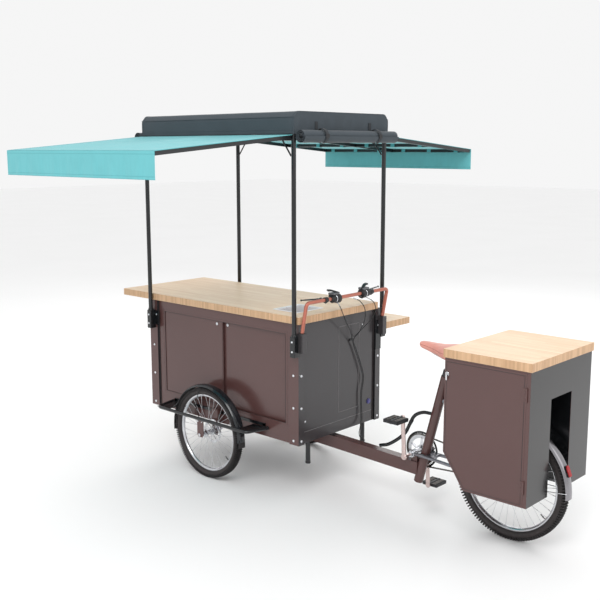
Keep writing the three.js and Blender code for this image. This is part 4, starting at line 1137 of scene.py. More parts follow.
def make_cabinet():
    paint_cad("box_frame", frame_paint(), 1.4)
    for node in ("left_panel", "right_panel"):
        paint_cad(node, BROWN, 0.6)
    for node in ("front_panel", "rear_panel"):
        paint_cad(node, GREY, 0.6)
    for node in ("door_front", "door_rear"):
        paint_cad(node, BROWN, 0.8)
    make_bolts()
    make_trim()
    make_doors()
    make_rear_face()
    make_brackets()
    for name, _ in SIDES:
        low, high = millimetres(f"support_leg_{name}")
        x, y, r = (low.x + high.x) / 2, (low.y + high.y) / 2, (high.x - low.x) / 2
        foot = [rod((x, y, low.z + 2), (x, y, high.z), r - 1.5, 32)]
        piece(f"leg_tube_{name}", foot, BLACK, f"{name}_leg", [f"support_leg_{name}"])
        cap = rod((x, y, low.z), (x, y, low.z + 16), r, 32, 2)
        piece(f"leg_foot_{name}", [cap], PLASTIC, f"{name}_leg")


def frame_paint():
    """The posts' paint: brown or grey like the panel beside them, black on what is fixed to them, and near
    black on the flanges' side edges as painted shade.
    """
    look = Look("post_paint", BROWN_COLOUR, 0.2, 0.0, **THIN_COAT)
    normal, (x, y, _) = look.split("Normal"), look.split("Object")
    facing_x = look.ramp(look.math("ABSOLUTE", normal[0]), 0.6, 0.72, 0.0, 1.0)
    sheet = look.blend(facing_x, look.shade(1.0), linear(GREY_COLOUR))
    out = look.math("ABSOLUTE", y)
    wide = look.math("GREATER_THAN", out, (BOX_HALF + 0.4) * MM)
    behind = look.math("GREATER_THAN", x, (BOX_X1 + 0.4) * MM + AXLE_X)
    inside_y = look.math("LESS_THAN", out, (PANEL_Y - 1) * MM)
    inside_x = look.math("LESS_THAN", x, (PANEL_REAR_X - 1) * MM + AXLE_X)
    past_front = look.math("GREATER_THAN", x, (-PANEL_REAR_X + 60) * MM + AXLE_X)
    inside = look.math("MULTIPLY", look.math("MULTIPLY", inside_y, inside_x), past_front)
    fixed = look.math("MAXIMUM", look.math("MAXIMUM", wide, behind), inside)
    # Painted shade: faces across Y inside the outer faces, the flanges' side edges, are made near black for
    # the shade in the gap beside them.
    between = look.math("LESS_THAN", out, (BOX_HALF - 2) * MM)
    facing_y = look.math("GREATER_THAN", look.math("ABSOLUTE", normal[1]), 0.6)
    dark = look.math("MAXIMUM", fixed, look.math("MULTIPLY", between, facing_y))
    look.set("Base Color", look.blend(dark, sheet, linear((24, 25, 28))))
    return look.orange_peel(0.18, 0.23)


def make_bolts():
    """Round-headed bolts through each leaf of the four corner posts."""
    heads = Shape()
    for _, side in SIDES:
        for z in (782, 580, 374):
            for x in (-637, 688):
                heads.add(bolt_head((x, side * BOX_HALF, z), (0, side, 0)))
            for x, way in ((BOX_X0, -1), (BOX_X1, 1)):
                heads.add(bolt_head((x, side * 372, z), (way, 0, 0)))
    for y, z in ((227, 1010), (370, 988), (-346, 963), (-324, 485)):
        heads.add(bolt_head((PANEL_REAR_X if abs(y) < 347 else BOX_X1, y, z), (1, 0, 0), 6.5))
    piece("post_bolts", heads, ZINC, "cabinet")


def make_trim():
    """Dark strips painted in as the shade in the gaps beside the corner posts."""
    gaps = Shape()
    z0, z1, thick = 352, 1097, 2.4
    for _, side in SIDES:
        y = side * PANEL_Y
        for x0, x1 in ((-601.5, -587), (648, 653.5)):
            gaps.add(block((x0, y, z0), (x1, y + side * thick, z1), 0.6))
        for x, way in ((-664, -1), (PANEL_REAR_X, 1)):
            gaps.add(block((x, side * 347, z0), (x + way * thick, side * 334, z1), 0.6))
    piece("post_shadow_gaps", gaps, SHADE_LINE, "cabinet")


def frame_line(x0, x1, z0, z1, y, side, wide, proud):
    return edge_strip([(x0, z0), (x0, z1), (x1, z1), (x1, z0)], y, side, wide, proud)


def make_doors():
    # Painted shade: a dark strip inside the doorway's bead stands in for the shade in the door gap.
    gap_shade = frame_line(-531, 611, 469, 1027, -PANEL_Y, -1, 1.8, 0.5)
    piece("doorway_gap_shade", gap_shade, SHADE_LINE, "cabinet")
    bead = frame_line(-545, 625, 455, 1041, -PANEL_Y, -1, 1.2, 0.4)
    piece("doorway_bead", bead, BROWN, "cabinet")
    for node, body, lock_x in (("door_front", "front_door", -2), ("door_rear", "rear_door", 83)):
        low, _ = millimetres(node)
        face = low.y + 1.5
        lock = [dome((lock_x, face - 1.3, 1009), (0, -1, 0), 10, 3.0, 28),
                rod((lock_x, face - 3.8, 1009), (lock_x, face - 5.2, 1009), 6, 24, 0.5),
                block((lock_x - 0.8, face - 5.8, 1005), (lock_x + 0.8, face - 5.0, 1013), 0.3)]
        piece(f"{node}_lock", lock, CHROME, body)
    # Painted shade: a dark strip along the front door's rear edge stands in for the shade in the seam where
    # the doors meet.
    edge = block((46.2, -383.6, 471), (47.2, -382.0, 1025), 0.4)
    piece("door_meeting_gap_shade", [edge], SHADE_LINE, "front_door")


def outline_x(y0, y1, z0, z1, x, wide, proud):
    """A raised rectangular line on a face across X."""
    bars = ((y0, z0, y1, z0 + wide), (y0, z1 - wide, y1, z1), (y0, z0, y0 + wide, z1),
            (y1 - wide, z0, y1, z1))
    return [block((x - 0.4, a, b), (x + proud, c, d), 0.4, 1) for a, b, c, d in bars]


def make_rear_face():
    x = PANEL_REAR_X
    line = block((x - 0.4, -330, 419), (x + 1.0, 330, 421.5), 0.4, 1)
    hatch = outline_x(-10, 193, 474, 1029, x, 2.2, 1.2)
    piece("rear_hatch_line", [*hatch, line], HATCH_EDGE, "cabinet")
    cap = [rod((x, 295, 486), (x + 6, 295, 486), 18, 36, 2.0),
           rod((x + 6, 295, 486), (x + 10, 295, 486), 13, 36, 2.0)]
    piece("inlet_cap", cap, INLET_BLUE, "cabinet")
    bar = [Vector((x + 2, 96 + 3 * i, CLIP_Z)) for i in range(11)]
    clip = [block((x, 92, CLIP_Z - 8), (x + 3, 130, CLIP_Z + 8), 1.2), tube(bar, 5, 12)]
    piece("cable_clip", clip, PLASTIC, "cabinet")


HATCH_EDGE = powder_paint("hatch_edge", (120, 117, 118), 0.25)
INLET_BLUE = moulded("inlet_blue", (74, 72, 128), 0.35)


def make_brackets():
    """Black plates and bolts that hold the four canopy poles, and the handlebar's two grey sleeves."""
    plates, sleeves, bolts = Shape(), Shape(), Shape()
    for _, side in SIDES:
        y, socket_y, foot_y = side * BOX_HALF, side * POLE_Y, side * BAR_Y
        for x, x0, x1, bolt_x, bolt_out in ((POLE_X[0], -650, -578, -604, 3), (POLE_X[1], 700, 736, 722, 30)):
            plates.add(block((x0, y - side * 0.4, 926), (x1, y + side * 3, 1026), 2))
            bolts.add(bolt_head((bolt_x, y + side * bolt_out, 1000), (0, side, 0), 6))
            plates.add(block((x - 19.5, socket_y - 18.5, 907), (x + 19.5, socket_y + 18.5, 1028), 4, 3))
            mouth = [(14.6, 1026), (19, 1026), (19, 1036), (16.5, 1040), (14.6, 1040)]
            plates.add(revolve(mouth, (x, socket_y, 0), 28, "Z"))
            for z in (940, 1000):
                bolts.add(bolt_head((x, socket_y + side * 18.5, z), (0, side, 0), 6.5))
        sleeves.add(block((729.5, foot_y - 19.6, 929.6), (772.4, foot_y + 19.6, 1048.4), 2.2, 3))
    plates.add(block((729, 347.5, 826), (733, 401.5, 1022), 1.5))
    plates.add(block((729.2, -397, 1000), (732, -352, 1046), 1.2))
    piece("pole_brackets", plates, BLACK, "cabinet")
    piece("bar_sleeves", sleeves, GREY, "cabinet")
    piece("bracket_bolts", bolts, ZINC, "cabinet")


# ---------------------------------------------------------------- boards and sink
COUNTER_LOW, COUNTER_HIGH = Vector((-957, -409, 1101)), Vector((744, 352, 1146))
SINK_LOW, SINK_HIGH = Vector((425, -310, 0)), Vector((640, -60, 0))
SINK_RIM = 18


def board_with_hole(low, high, hole_low, hole_high, r):
    """A board with a rectangular cut-out, all its edges rounded."""
    work = bmesh.new()
    layers = []
    for z in (low.z, high.z):
        rows = []
        for a, b in ((low, high), (hole_low, hole_high)):
            corners = ((a.x, a.y), (b.x, a.y), (b.x, b.y), (a.x, b.y))
            rows.append([work.verts.new((x, y, z)) for x, y in corners])
        layers.append(rows)
    (low_outer, low_inner), (high_outer, high_inner) = layers
    for first, second in ((low_outer, low_inner), (high_outer, high_inner), (low_outer, high_outer),
                          (low_inner, high_inner)):
        for i in range(4):
            work.faces.new((first[i], first[(i + 1) % 4], second[(i + 1) % 4], second[i]))
    work.normal_update()
    bmesh.ops.recalc_face_normals(work, faces=work.faces)
    sharp = [e for e in work.edges if e.calc_face_angle(0) > 1.0]
    bmesh.ops.bevel(work, geom=sharp, offset=r, segments=2, profile=0.5, affect="EDGES")
    work.verts.index_update()
    return from_bmesh(work)


def rounded_ring(half_x, half_y, corner, z, centre, per=7):
    """A rounded rectangle as a ring of points, with the same number of points for every size."""
    ring = []
    for quarter, (sx, sy) in enumerate(((1, 1), (-1, 1), (-1, -1), (1, -1))):
        for k in range(per):
            a = math.pi / 2 * (quarter + k / (per - 1))
            ring.append(Vector((centre[0] + sx * (half_x - corner) + corner * math.cos(a),
                                centre[1] + sy * (half_y - corner) + corner * math.sin(a), z)))
    return ring


def make_boards():
    hole_low = SINK_LOW + Vector((SINK_RIM, SINK_RIM, 0))
    hole_high = SINK_HIGH - Vector((SINK_RIM, SINK_RIM, 0))
    counter = board_with_hole(COUNTER_LOW, COUNTER_HIGH, hole_low, hole_high, 2.4)
    piece("counter_board", [counter], OAK, "cabinet", ["counter_top"], 30)
    make_sink()
    low, high = Vector((-650, 445, 952)), Vector((738, 715, 997))
    piece("shelf_board", [block(low, high, 2.4)], OAK, "shelf", ["folding_shelf"])
    hinges = Shape()
    for x in (-420, 20, 460):
        hinges.add(rod((x + 32, 441, 940), (x + 62, 441, 940), 6, 18))
        hinges.add(block((x + 32, 441, 945), (x + 62, 505, 951.6), 1.5))
        hinges.add(block((x + 30, 446, 934), (x + 64, 451, 951.6), 1.5))
        for y in (470, 492):
            hinges.add(dome((x + 47, y, 945), (0, 0, -1), 4.5, 2.5, 12))
    piece("shelf_hinges", hinges, BLACK, "shelf")


def make_sink():
    """A pressed bowl with a flat flange, rounded corners and a drain with its strainer."""
    centre = ((SINK_LOW.x + SINK_HIGH.x) / 2, (SINK_LOW.y + SINK_HIGH.y) / 2)
    half_x, half_y = (SINK_HIGH.x - SINK_LOW.x) / 2, (SINK_HIGH.y - SINK_LOW.y) / 2
    top, wall = 1146.3, SINK_RIM + 3
    # Each ring: how far it stands in from the flange's edge, its corners' radius and its height over the rim.
    inside = [(0, 12, 0), (0.4, 12, 1.8), (14, 14, 2.0), (wall - 3, 16, 1.2), (wall, 18, -3),
              (wall + 1, 18, -60), (wall + 2, 20, -112), (wall + 8, 24, -127), (wall + 24, 26, -132.6)]
    outside = [(wall + 5, 24, -129), (wall - 1.2, 19, -112), (wall - 1.6, 18, -3)]
    drain = [(34, 33.9, -134.2), (19, 18.9, -135.4), (14.6, 14.5, -138), (14.6, 14.5, -184), (18, 17.9, -184),
             (18, 17.9, -140), (40, 39, -136.4)]
    sizes = [(half_x - inset, half_y - inset, corner, rise) for inset, corner, rise in inside]
    sizes += [(half, half, corner, rise) for half, corner, rise in drain]
    sizes += [(half_x - inset, half_y - inset, corner, rise) for inset, corner, rise in outside]
    rings = [rounded_ring(wide, deep, corner, top + rise, centre) for wide, deep, corner, rise in sizes]
    piece("sink_bowl", [loft(rings, True, True)], SINK_STEEL, "cabinet", ["sink_basin"], 40)
    grid_z = top - 134.2
    profile = [(4, top - 135), (14, top - 135), (14, top - 133.4), (4, top - 133.4)]
    strainer = [revolve(profile, (*centre, 0), 24, "Z")]
    for u, v in circle(14, 8):
        strainer.append(rod((centre[0] + u, centre[1] + v, grid_z), (*centre, grid_z), 1.2, 6, 0.3))
    piece("sink_strainer", strainer, CHROME, "cabinet")


# ---------------------------------------------------------------- handlebar and cables
BAR_X, BAR_Z, BAR_Y, BAR_R = 788, 1234, 389, 11.3
LEVER_X, LEVER_Y = 744, 212
CABLE_R = 2.6
CLIP_Y, CLIP_Z = 98, 930


def loom_route(offset):
    """The long cables' common way from the clip on the rear face to the boom, offset sideways."""
    stops = ((739, 0, CLIP_Z), (733, 32, 868), (733, 90, 745), (733, 114, 660), (733, 96, 560),
             (733, 100, 450), (738, 96, 385), (753, 69, 345), (791, 12, 328), (846, -46, 325),
             (905, -84, 325))
    return [(x, CLIP_Y + y + offset, z) for x, y, z in stops]


CABLES = {
    "rear_brake": [(800, -120, 1209), (804, -90, 1160), (790, -38, 1090), (762, 50, 1000), *loom_route(0)],
    "shift": [(800, 30, 1216), (812, 80, 1192), (814, 126, 1140), (797, 148, 1060), (764, 134, 980),
              *loom_route(11)],
    "front_brake": [(800, 150, 1210), (820, 202, 1176), (820, 230, 1120), (800, 212, 1060), (764, 172, 1000),
                    (736, 146, 962), (719, 140, 945)],
}


def make_cables():
    """Control cables in one smooth curve each. The two long ones cross where the cabinet steers and ride on
    no body.
    """
    for name, route in CABLES.items():
        line = smooth_route(route, 6)
        crosses = name != "front_brake"
        made = piece(f"cable_{name}_cover", [tube(line, CABLE_R, 12)], CABLE, None if crosses else "cabinet",
                     [f"cable_{name}"])
        if crosses:
            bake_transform(made)
        end = piece(f"cable_{name}_ferrule", [rod(line[0], line[3], 3.6, 12)], CHROME, "cabinet")


def make_handlebar():
    foot_x, foot_z = 753, 1054
    slope = (BAR_X - foot_x) / (BAR_Z - foot_z)
    low = 1.7
    feet = [Vector((foot_x - slope * low, side * BAR_Y, foot_z - low)) for side in (-1, 1)]
    corners = [feet[0], Vector((BAR_X, -BAR_Y, BAR_Z)), Vector((BAR_X, BAR_Y, BAR_Z)), feet[1]]
    bar = tube(rounded_route(corners, 30, 10), BAR_R, 28)
    piece("handlebar_tube", [bar], COPPER, "cabinet", ["handlebar"])
    for name, side in SIDES:
        make_controls(name, side)
        make_lever(name, side)


def ring_clamp(y0, y1, r):
    """A collar round the handlebar."""
    low, high = sorted((y0, y1))
    bore = BAR_R + 0.2
    profile = [(bore, low), (r - 1, low), (r, low + 1), (r, high - 1), (r - 1, high), (bore, high)]
    return revolve(profile, (BAR_X, 0, BAR_Z), 32)


WINDOW_GREY = moulded("window_grey", (96, 96, 100), 0.35)
POD_SHIFT = 28


def make_controls(name, side):
    """Brake lever clamp, and the shifter's clamps, drum, housing, thumb lever and gear window."""
    shift = POD_SHIFT if side > 0 else 0

    def pod_y(y):
        return side * (y + shift)

    parts = Shape()
    parts.add(ring_clamp(side * 205, side * 232, 16.8))
    parts.add(block((LEVER_X + 8, side * 209, BAR_Z - 8), (BAR_X - 8, side * 229, BAR_Z + 8), 3, 3))
    parts.add(rod((BAR_X - 4, side * 218, BAR_Z - 20), (BAR_X + 10, side * 218, BAR_Z - 13), 4, 10))
    for y0, y1 in ((84, 100), (152, 174)):
        parts.add(ring_clamp(pod_y(y0), pod_y(y1), 17.5))
    for y0, y1, r in ((90, 124, 29), (122, 164, 24)):
        low, high = sorted((pod_y(y0), pod_y(y1)))
        pod = [(12, low), (r - 5, low), (r, low + 5), (r, high - 5), (r - 5, high), (12, high)]
        parts.add(revolve(pod, (BAR_X - 3, 0, BAR_Z - 3), 36))
    low, high = sorted((pod_y(104), pod_y(156)))
    parts.add(block((BAR_X - 36, low, BAR_Z - 16), (BAR_X - 8, high, BAR_Z + 22), 8, 3))
    window = [block((BAR_X - 34, low - 4, BAR_Z + 20), (BAR_X + 14, high + 4, BAR_Z + 35), 6, 3)]
    thumb = smooth_route([(BAR_X + x, pod_y(y), BAR_Z + z)
                          for x, y, z in ((4, 100, 32), (-8, 124, 40), (-18, 150, 48), (-22, 172, 50))], 6)
    parts.add(sweep(thumb, flat_oval(11, 5.5, 16), sizes=stations(0.8, 1.15, len(thumb) - 1)))
    nozzle = smooth_route([(BAR_X + 6, side * 118, BAR_Z - 22), (BAR_X + 12, side * 120, BAR_Z - 31)], 4)
    parts.add(tube(nozzle, 5, 12))
    piece(f"bar_controls_{name}", parts, PLASTIC, "cabinet", (), 45)
    piece(f"bar_window_{name}", window, WINDOW_GREY, "cabinet", (), 45)
    ring, end = pod_y(128), pod_y(89)
    profile = [(24.4, ring), (25.4, ring + side), (25.4, ring + side * 5), (24.4, ring + side * 6)]
    trim = [revolve(profile, (BAR_X - 3, 0, BAR_Z - 3), 36),
            rod((BAR_X - 3, end, BAR_Z - 3), (BAR_X - 3, end + side * 1.6, BAR_Z - 3), 17, 28, 0.5)]
    piece(f"bar_controls_trim_{name}", trim, ALLOY, "cabinet")


def make_lever(name, side):
    """A tapering blade with a ball at its end, on an upright pivot."""
    def at(x, y, z):
        return Vector((x, side * y, z))
    route = smooth_route([at(LEVER_X, 208, BAR_Z), at(737, 250, 1236), at(731, 320, 1240),
                          at(728, 368, 1243)], 8)
    ball = [(0.4, -6.2), (4, -4.8), (6.2, 0), (4, 4.8), (0.4, 6.2)]
    parts = [sweep(route, oval(7.4, 4.8, 20), sizes=stations(1.25, 0.8, len(route) - 1)),
             revolve(ball, at(728, 371, 1243), 18),
             rod(at(LEVER_X, LEVER_Y, 1226.5), at(LEVER_X, LEVER_Y, 1241.5), 9, 24, 1.2),
             dome(at(LEVER_X, LEVER_Y, 1241), (0, 0, 1), 5, 2.4, 14)]
    piece(f"lever_blade_{name}", parts, BLACK, f"{name}_brake_lever",
          [f"brake_lever_{name}"], 45)


# ---------------------------------------------------------------- outriggers and front mudguards
def make_foot_rail(name, side):
    """The bent tube, its two ribbed deck plates and their angles on the cabinet."""
    wall, foot = side * (PANEL_Y + 1), side * 389
    flange = side * (PANEL_Y + 7)
    corners = [Vector((x, side * y, 406)) for x, y in ((-462, 389), (-424, 547), (424, 547), (462, 389))]
    metal = Shape().add(tube(rounded_route(corners, 34, 8), 11, 22))
    for end in (-1, 1):
        low, high = sorted((foot, side * 543))
        metal.add(block((end * 334, low, 403), (end * 440, high, 408), 1.4))
        for k in range(5):
            x = end * (350 + k * 18)
            metal.add(block((x - 3, low + 10, 407.5), (x + 3, high - 14, 409.6), 1.0))
        metal.add(block((end * 20, wall, 412), (end * 440, flange, 432), 1.5))
        metal.add(block((end * 415, wall, 403), (end * 440, flange, 431), 1.5))
        metal.add(weld_bead((end * 459, side * 391, 406), (end * 0.25, -side, 0), 10.5))
    piece(f"foot_rail_{name}", metal, BLACK, "cabinet", [f"outrigger_{name}"], 40)


def make_axle_hangers(name, side):
    """The plates on both sides of a front wheel, and its axle with nuts and bolts."""
    hanger = Shape()
    for y0, y1, half, top, low, foot in ((540, 547.8, 28, 400, 298, 284), (414, 420, 30, 445, 288, 273)):
        outline = [(-half, top), (-half, low), (10 - half, foot), (half - 10, foot), (half, low), (half, top)]
        hanger.add(slab(outline, *sorted((side * y0, side * y1)), "Y", 1.4))
    hanger.add(block((-30, side * (PANEL_Y + 1), 412), (30, side * 416, 446), 2))
    piece(f"axle_hanger_{name}", hanger, BROWN, "cabinet")
    axle = [rod((0, side * 412, FRONT_R), (0, side * 555.5, FRONT_R), 5.4, 16),
            hex_nut((0, side * 548, FRONT_R), (0, side * 555, FRONT_R), 11),
            rod((0, side * 533, FRONT_R), (0, side * 540, FRONT_R), 12, 24)]
    for x in (-18, 18):
        axle.append(bolt_head((x, side * 547.8, 388), (0, side, 0), 5))
    piece(f"axle_nuts_{name}", axle, CHROME, "cabinet")


def make_outriggers():
    for name, side in SIDES:
        make_foot_rail(name, side)
        make_axle_hangers(name, side)
        make_caliper(name, side)
        make_front_mudguard(name, side)


def make_caliper(name, side):
    """A disc brake calliper that straddles the rotor, on an arm from the inner hanger."""
    y = side * (WHEEL_Y - ROTOR_INBOARD)
    centre = (0, FRONT_R)
    a = math.radians(35)
    turn = Matrix.Translation(polar(centre, 72, a, y)) @ Matrix.Rotation(-a, 4, "Y")
    body = Shape()
    for way in (-1, 1):
        body.copy_of(block((-15, way * 2.6, -24), (17, way * 13, 24), 4, 3), turn)
    body.copy_of(block((10.5, -4, -20), (17, 4, 20), 2), turn)
    arm = [Vector((18, side * 421, 330)), polar(centre, 62, a, y - side * 12)]
    body.add(sweep(arm, rectangle(3, 7), up=(0, 1, 0)))
    piece(f"caliper_{name}", body, ALLOY, "cabinet")
    inboard = turn if side < 0 else turn @ Matrix.Rotation(math.pi, 4, "Z")
    knob = Shape().copy_of(rod((0, 12.5, 0), (0, 21, 0), 9, 24, 2), inboard)
    piece(f"caliper_knob_{name}", knob, PLASTIC, "cabinet")


def make_front_mudguard(name, side):
    y = side * WHEEL_Y
    centre = (0, FRONT_R)
    guard = mudguard_shape(centre, y, FRONT_R + 21.6, 32.4, 12, 0, 180, 80)
    piece(f"front_guard_{name}", guard, GUARD_BLACK, "cabinet", [f"mudguard_{name}"])
    flaps = [block((way * 311, y - 26, 262), (way * 319, y + 26, 318), 2.5, 3) for way in (-1, 1)]
    piece(f"guard_flaps_{name}", flaps, TREAD, "cabinet")
    hoop = [polar(centre, FRONT_R + 6, math.radians(a), y + side * 24) for a in range(100, 178, 6)]
    brace = smooth_route([(-14, y + side * 62, 404), (-60, y + side * 50, 470), hoop[0]], 6)
    stays = [tube(brace, 2.4, 10), tube(hoop, 2.4, 10)]
    for angle in (30, 150):
        a = math.radians(angle)
        foot = Vector((math.copysign(330, math.cos(a)), side * 500, 409))
        stays.append(rod(foot, polar(centre, FRONT_R + 12, a, y + side * 20), 3, 10))
    piece(f"guard_stays_{name}", stays, BLACK, "cabinet")


GUARD_BLACK = powder_paint("guard_black", (24, 29, 34), 0.14)


# ---------------------------------------------------------------- canopy
ROOF_X0, ROOF_X1, ROOF_HALF = -655, 738, 440
ROOF_EDGE, ROOF_SHOULDER, ROOF_TOP = 2214, 2306, 2343
ROOF_HIP, ROOF_SLANT = 32, 49  # how far the shoulder leans in, and the length of that slope
ROLL_R, ROLL_Z = 45, 2202
ROLL_TIES = (-250, 250)


def make_poles():
    for place, x in zip(("front", "rear"), POLE_X):
        for name, side in SIDES:
            node = f"canopy_pole_{place}_{name}"
            low, high = millimetres(node)
            y = side * POLE_Y
            pole = [rod((x, y, low.z), (x, y, high.z), 14, 32, 1.5),
                    revolve([(14.1, 1041), (15.2, 1041), (15.2, 1046), (14.1, 1046)], (x, y, 0), 32, "Z")]
            piece(f"pole_tube_{place}_{name}", pole, BLACK, "cabinet", [node])


def roof_outline(inset):
    """The roof's section from one eave over the top to the other, with softened shoulders, as (y, z)."""
    half, top = ROOF_HALF - inset, ROOF_TOP - inset
    flank = ((half, ROOF_EDGE), (half, ROOF_SHOULDER), (half - ROOF_HIP, top))
    corners = [Vector((-y, 0, z)) for y, z in flank] + [Vector((y, 0, z)) for y, z in reversed(flank)]
    line = rounded_route(corners, 14, 4)
    out = []
    for a, b in zip(line, line[1:]):
        steps = max(1, int((b - a).length / 45))
        out += [a.lerp(b, k / steps) for k in range(steps)]
    return out + [line[-1]]


def roof_sag(x, y):
    """How far the cloth sinks between the roof's cross tubes and ripples near its edges."""
    span = (x - ROOF_X0) / (ROOF_X1 - ROOF_X0) * 3
    between = math.sin(math.pi * (span % 1)) ** 2
    across = max(0.0, 1 - (y / (ROOF_HALF - 30)) ** 2)
    ripple = 0.8 * math.sin(x * 0.031 + y * 0.012) + 0.5 * math.sin(x * 0.013 - y * 0.045)
    return between * across * 7 + ripple * min(1, across * 2)


def make_roof():
    along = stations(ROOF_X0, ROOF_X1, 56)
    outer = roof_outline(0.4)
    rings = []
    for x in along:
        ring = []
        for p in outer:
            on_top = p.z > ROOF_SHOULDER + 10
            sag = roof_sag(x, p.x) if on_top else 0
            bulge = 0 if on_top else 1.5 * math.sin(x * 0.024 + p.z * 0.03)
            ring.append(Vector((x, p.x - math.copysign(1.6 + bulge * 0.5, p.x), p.z - max(0, sag) - 0.4)))
        ring += [Vector((x, q.y - math.copysign(1.8, q.y), q.z - 1.6)) for q in reversed(ring)]
        rings.append(ring)
    shape = Shape().add(loft(rings))
    for x, way in ((ROOF_X0 + 0.3, 1), (ROOF_X1 - 0.3, -1)):
        shape.add(end_panel(x, way, outer))
    cover = piece("roof_cloth", shape, ROOF_CLOTH, "cabinet", ["roof_cover"], 50)
    seams = Shape()
    for x in (ROOF_X0 + 4, ROOF_X0 + 18, ROOF_X1 - 18, ROOF_X1 - 4):
        seams.add(tube([Vector((x, p.x - math.copysign(1.2, p.x), p.z - 0.6)) for p in outer], 1.5, 6))
    for side in (-1, 1):
        lines = ((1.8, ROOF_EDGE + 3, 1.4), (1.8, ROOF_EDGE + 22, 1.4), (3, ROOF_SHOULDER + 3, 1.8))
        for inset, z, r in lines:
            seams.add(tube([Vector((x, side * (ROOF_HALF - inset), z)) for x in along], r, 6))
    hem = piece("roof_seams", seams, ROOF_CLOTH, "cabinet")
    paint_cad("roof_frame", BLACK, 1.2)
    make_roll("front", ROOF_X0, -1)
    make_roll("rear", ROOF_X1, 1)


def end_panel(x, way, outline):
    """The roof's end: cloth from the section's outline down to the eave, closed round its edges."""
    front = []
    for t in stations(0, 1, 6):
        swell = way * 1.2 * math.sin(math.pi * t)
        front.append([Vector((x + swell * (1 + math.sin(p.x * 0.03)), p.x * 0.996,
                              ROOF_EDGE + (p.z - 0.6 - ROOF_EDGE) * t)) for p in outline])
    back = [[q + Vector((way * 1.8, 0, 0)) for q in row] for row in reversed(front)]
    return loft([list(column) for column in zip(*(front + back))])


def make_roll(place, edge, way):
    """A rolled-up end curtain outside a roof edge: cloth in a loose spiral, tied with straps."""
    x = edge + way * (ROLL_R + 2)
    turns, steps, core_r, outer_r, half = 3, 34, 14, ROLL_R - 3.4, 438
    spiral = []
    for i, r in enumerate(stations(core_r, outer_r, turns * steps)):
        spiral.append((math.tau * i / steps, r))
    outline = [(r * math.cos(a), r * math.sin(a)) for a, r in spiral]
    outline += [((r - 2.0) * math.cos(a), (r - 2.0) * math.sin(a)) for a, r in reversed(spiral)]
    rings = []
    for y in stations(-half, half, 44):
        pinch = 0.98 * (1 - 0.05 * sum(math.exp(-((y - tie) / 30) ** 2) for tie in ROLL_TIES))
        wave = 0.6 * math.sin(y * 0.05) / ROLL_R
        rings.append([Vector((x + u * pinch, y, ROLL_Z + v * pinch + wave * abs(v))) for u, v in outline])
    body = piece(f"curtain_{place}", [loft(rings)], ROOF_CLOTH, "cabinet",
                 [f"curtain_roll_{place}"], 60)
    rolled_on = [rod((x, 2 - half, ROLL_Z), (x, half - 2, ROLL_Z), 11, 20)]
    core = piece(f"curtain_core_{place}", rolled_on, BLACK, "cabinet")
    straps, buckles = Shape(), Shape()
    for y in ROLL_TIES:
        straps.add(strap_ring(x, y, ROLL_Z, ROLL_R - 1.2, 12))
        straps.add(block((edge, y - 12, ROLL_Z + 38), (edge + way * 3, y + 12, ROLL_Z + 84), 0.8))
        buckles.add(block((x + way * (ROLL_R - 5), y - 16, ROLL_Z - 12),
                          (x + way * (ROLL_R - 0.4), y + 16, ROLL_Z + 12), 1.5))
    piece(f"curtain_straps_{place}", straps, STRAP, "cabinet")
    piece(f"curtain_buckles_{place}", buckles, PLASTIC, "cabinet")


def strap_ring(x, y, z, r, half):
    return revolve([(r - 1.8, -half), (r, -half), (r, half), (r - 1.8, half)], (x, y, z), 44)


STRAP = woven("strap_webbing", (44, 48, 52), 0.0012, 0.1)


# ---------------------------------------------------------------- awnings
AWNING_X0, AWNING_X1 = -658, 731
AWNING_Y, AWNING_OUT = 446, 1436
AWNING_Z_IN, AWNING_Z_OUT = 2206, 2120
VALANCE_Z = 1978
AWNING_BARS = (14, 527, 978)


def awning_point(side, x, out, lift):
    """A point on the awning's plane: out along the slope from the hinge edge, lift above it."""
    slope = math.atan2(AWNING_Z_IN - AWNING_Z_OUT, AWNING_OUT - AWNING_Y)
    y = AWNING_Y + out * math.cos(slope) + lift * math.sin(slope)
    return Vector((x, side * y, AWNING_Z_IN - out * math.sin(slope) + lift * math.cos(slope)))


def hump(place, supports):
    """0 at each support and past the outer ones, rising to 1 midway between two."""
    for a, b in zip(supports, supports[1:]):
        if a <= place <= b:
            return math.sin(math.pi * (place - a) / (b - a))
    return 0.0


def awning_lift(x, out):
    """The cloth's height over the arms' plane: it lies on three arms and three bars and sags between."""
    arms = (AWNING_X0 + 17, (AWNING_X0 + AWNING_X1) / 2, AWNING_X1 - 17)
    sag = hump(x, arms) * hump(out, AWNING_BARS)
    crease = 0.5 * math.sin(x * 0.045 + out * 0.02) + 0.4 * math.sin(out * 0.05 - x * 0.017)
    return 3.2 - 12.0 * sag - 0.25 + crease * 0.5 * max(sag, 0.1)


def make_awning(name, side):
    body = f"{name}_awning"
    reach = math.hypot(AWNING_OUT - AWNING_Y, AWNING_Z_IN - AWNING_Z_OUT)
    paint_cad(f"awning_frame_{name}", AWNING_BLACK, 1.0)
    across, outward = stations(AWNING_X0, AWNING_X1, 72), stations(0, reach, 52)

    def on_cloth(x, out, under):
        return awning_point(side, x, out, awning_lift(x, out) - under)

    rings = [[on_cloth(x, out, 0) for out in outward] + [on_cloth(x, out, 1.5) for out in reversed(outward)]
             for x in across]
    cloth = piece(f"awning_sheet_{name}", [loft(rings)], CANVAS, body,
                  [f"awning_cloth_{name}"], 60)
    seams = Shape()
    for x in (AWNING_X0 + 2, AWNING_X0 + 26, AWNING_X1 - 26, AWNING_X1 - 2):
        seams.add(tube([on_cloth(x, out, 0.9) for out in outward], 1.6, 6))
    for out in (3, reach - 24, reach - 3):
        seams.add(tube([on_cloth(x, out, 0.9) for x in across], 1.6, 6))
    hem = piece(f"awning_hem_{name}", seams, CANVAS_EDGE, body)
    make_loops(name, side)
    make_valance(name, side)


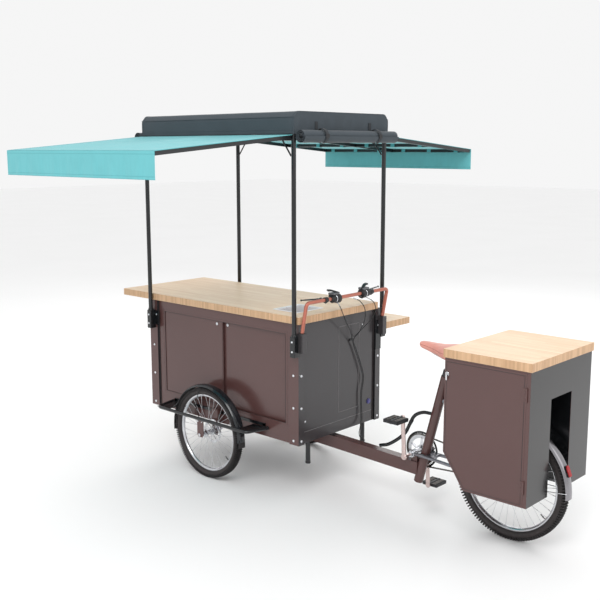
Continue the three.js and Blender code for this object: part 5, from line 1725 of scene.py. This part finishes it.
def make_loops(name, side):
    """Cloth loops sewn under the awning and wrapped round its long bars."""
    section = ((-14, 1.2), (14, 1.2), (14.5, -22), (11, -24.2), (-11, -24.2), (-14.5, -22))
    loops = Shape()
    for bar in AWNING_BARS[1:]:
        for x in stations(AWNING_X0 + 110, AWNING_X1 - 110, 5):
            outer = [[awning_point(side, x + dx, bar + u, v) for u, v in section] for dx in (-16, 16)]
            inner = [[awning_point(side, x + dx, bar + u * 0.86, v * 0.9 - 1) for u, v in section]
                     for dx in (16, -16)]
            loops.add(loft(outer + inner, True, True))
    piece(f"awning_loops_{name}", loops, CANVAS_EDGE, f"{name}_awning")


def make_valance(name, side):
    """The awning's hanging edge: it falls straight from its hem in long shallow waves."""
    drop = AWNING_Z_OUT - VALANCE_Z + 1
    across = stations(AWNING_X0, AWNING_X1, 120)

    def place(x, t, z, out=0.0):
        wave = 1.6 * math.sin(x * 0.034 + 0.6) + 0.9 * math.sin(x * 0.083 + 2.0) + 0.5 * math.sin(x * 0.19)
        return Vector((x, side * (AWNING_OUT + 2.5 + t * wave * 1.2 + out), z))

    rings = []
    for x in across:
        line = [(t, AWNING_Z_OUT + 1.5 - drop * t) for t in stations(0, 1, 12)]
        outer = [place(x, t, z, 0.75) for t, z in line]
        rings.append(outer + [place(x, t, z, -0.75) for t, z in reversed(line)])
    body = f"{name}_valance"
    cloth = piece(f"valance_sheet_{name}", [loft(rings)], CANVAS, body,
                  [f"valance_{name}"], 60)
    seams = Shape()
    for z, t in ((VALANCE_Z + 1.6, 1.0), (VALANCE_Z + 16, 0.9), (AWNING_Z_OUT - 14, 0.1)):
        seams.add(tube([place(x, t, z) for x in across], 1.5, 6))
    hem = piece(f"valance_hem_{name}", seams, CANVAS_EDGE, body)


CANVAS_EDGE = woven("canvas_edge", (84, 164, 170), 0.0016, 0.2)
AWNING_BLACK = powder_paint("awning_black", (26, 29, 32), 0.3)


# ---------------------------------------------------------------- everything
def make_floor():
    data = bpy.data.meshes.new("floor")
    half = 40.0
    corners = [(-half, -half, 0), (half, -half, 0), (half, half, 0), (-half, half, 0)]
    data.from_pydata(corners, [], [(0, 1, 2, 3)])
    look = Look("floor", (250, 250, 250), 0.55)
    look.mottle(0.8, 0.01)
    data.materials.append(look.material)
    floor = bpy.data.objects.new("floor", data)
    bpy.context.scene.collection.objects.link(floor)


make_camera()
make_cables()
make_studio()
make_floor()
make_wheels()
make_drive()
make_rear_frame()
make_saddle()
make_rear_box()
make_cabinet()
make_boards()
make_handlebar()
make_outriggers()
make_poles()
make_roof()
for name, side in SIDES:
    make_awning(name, side)
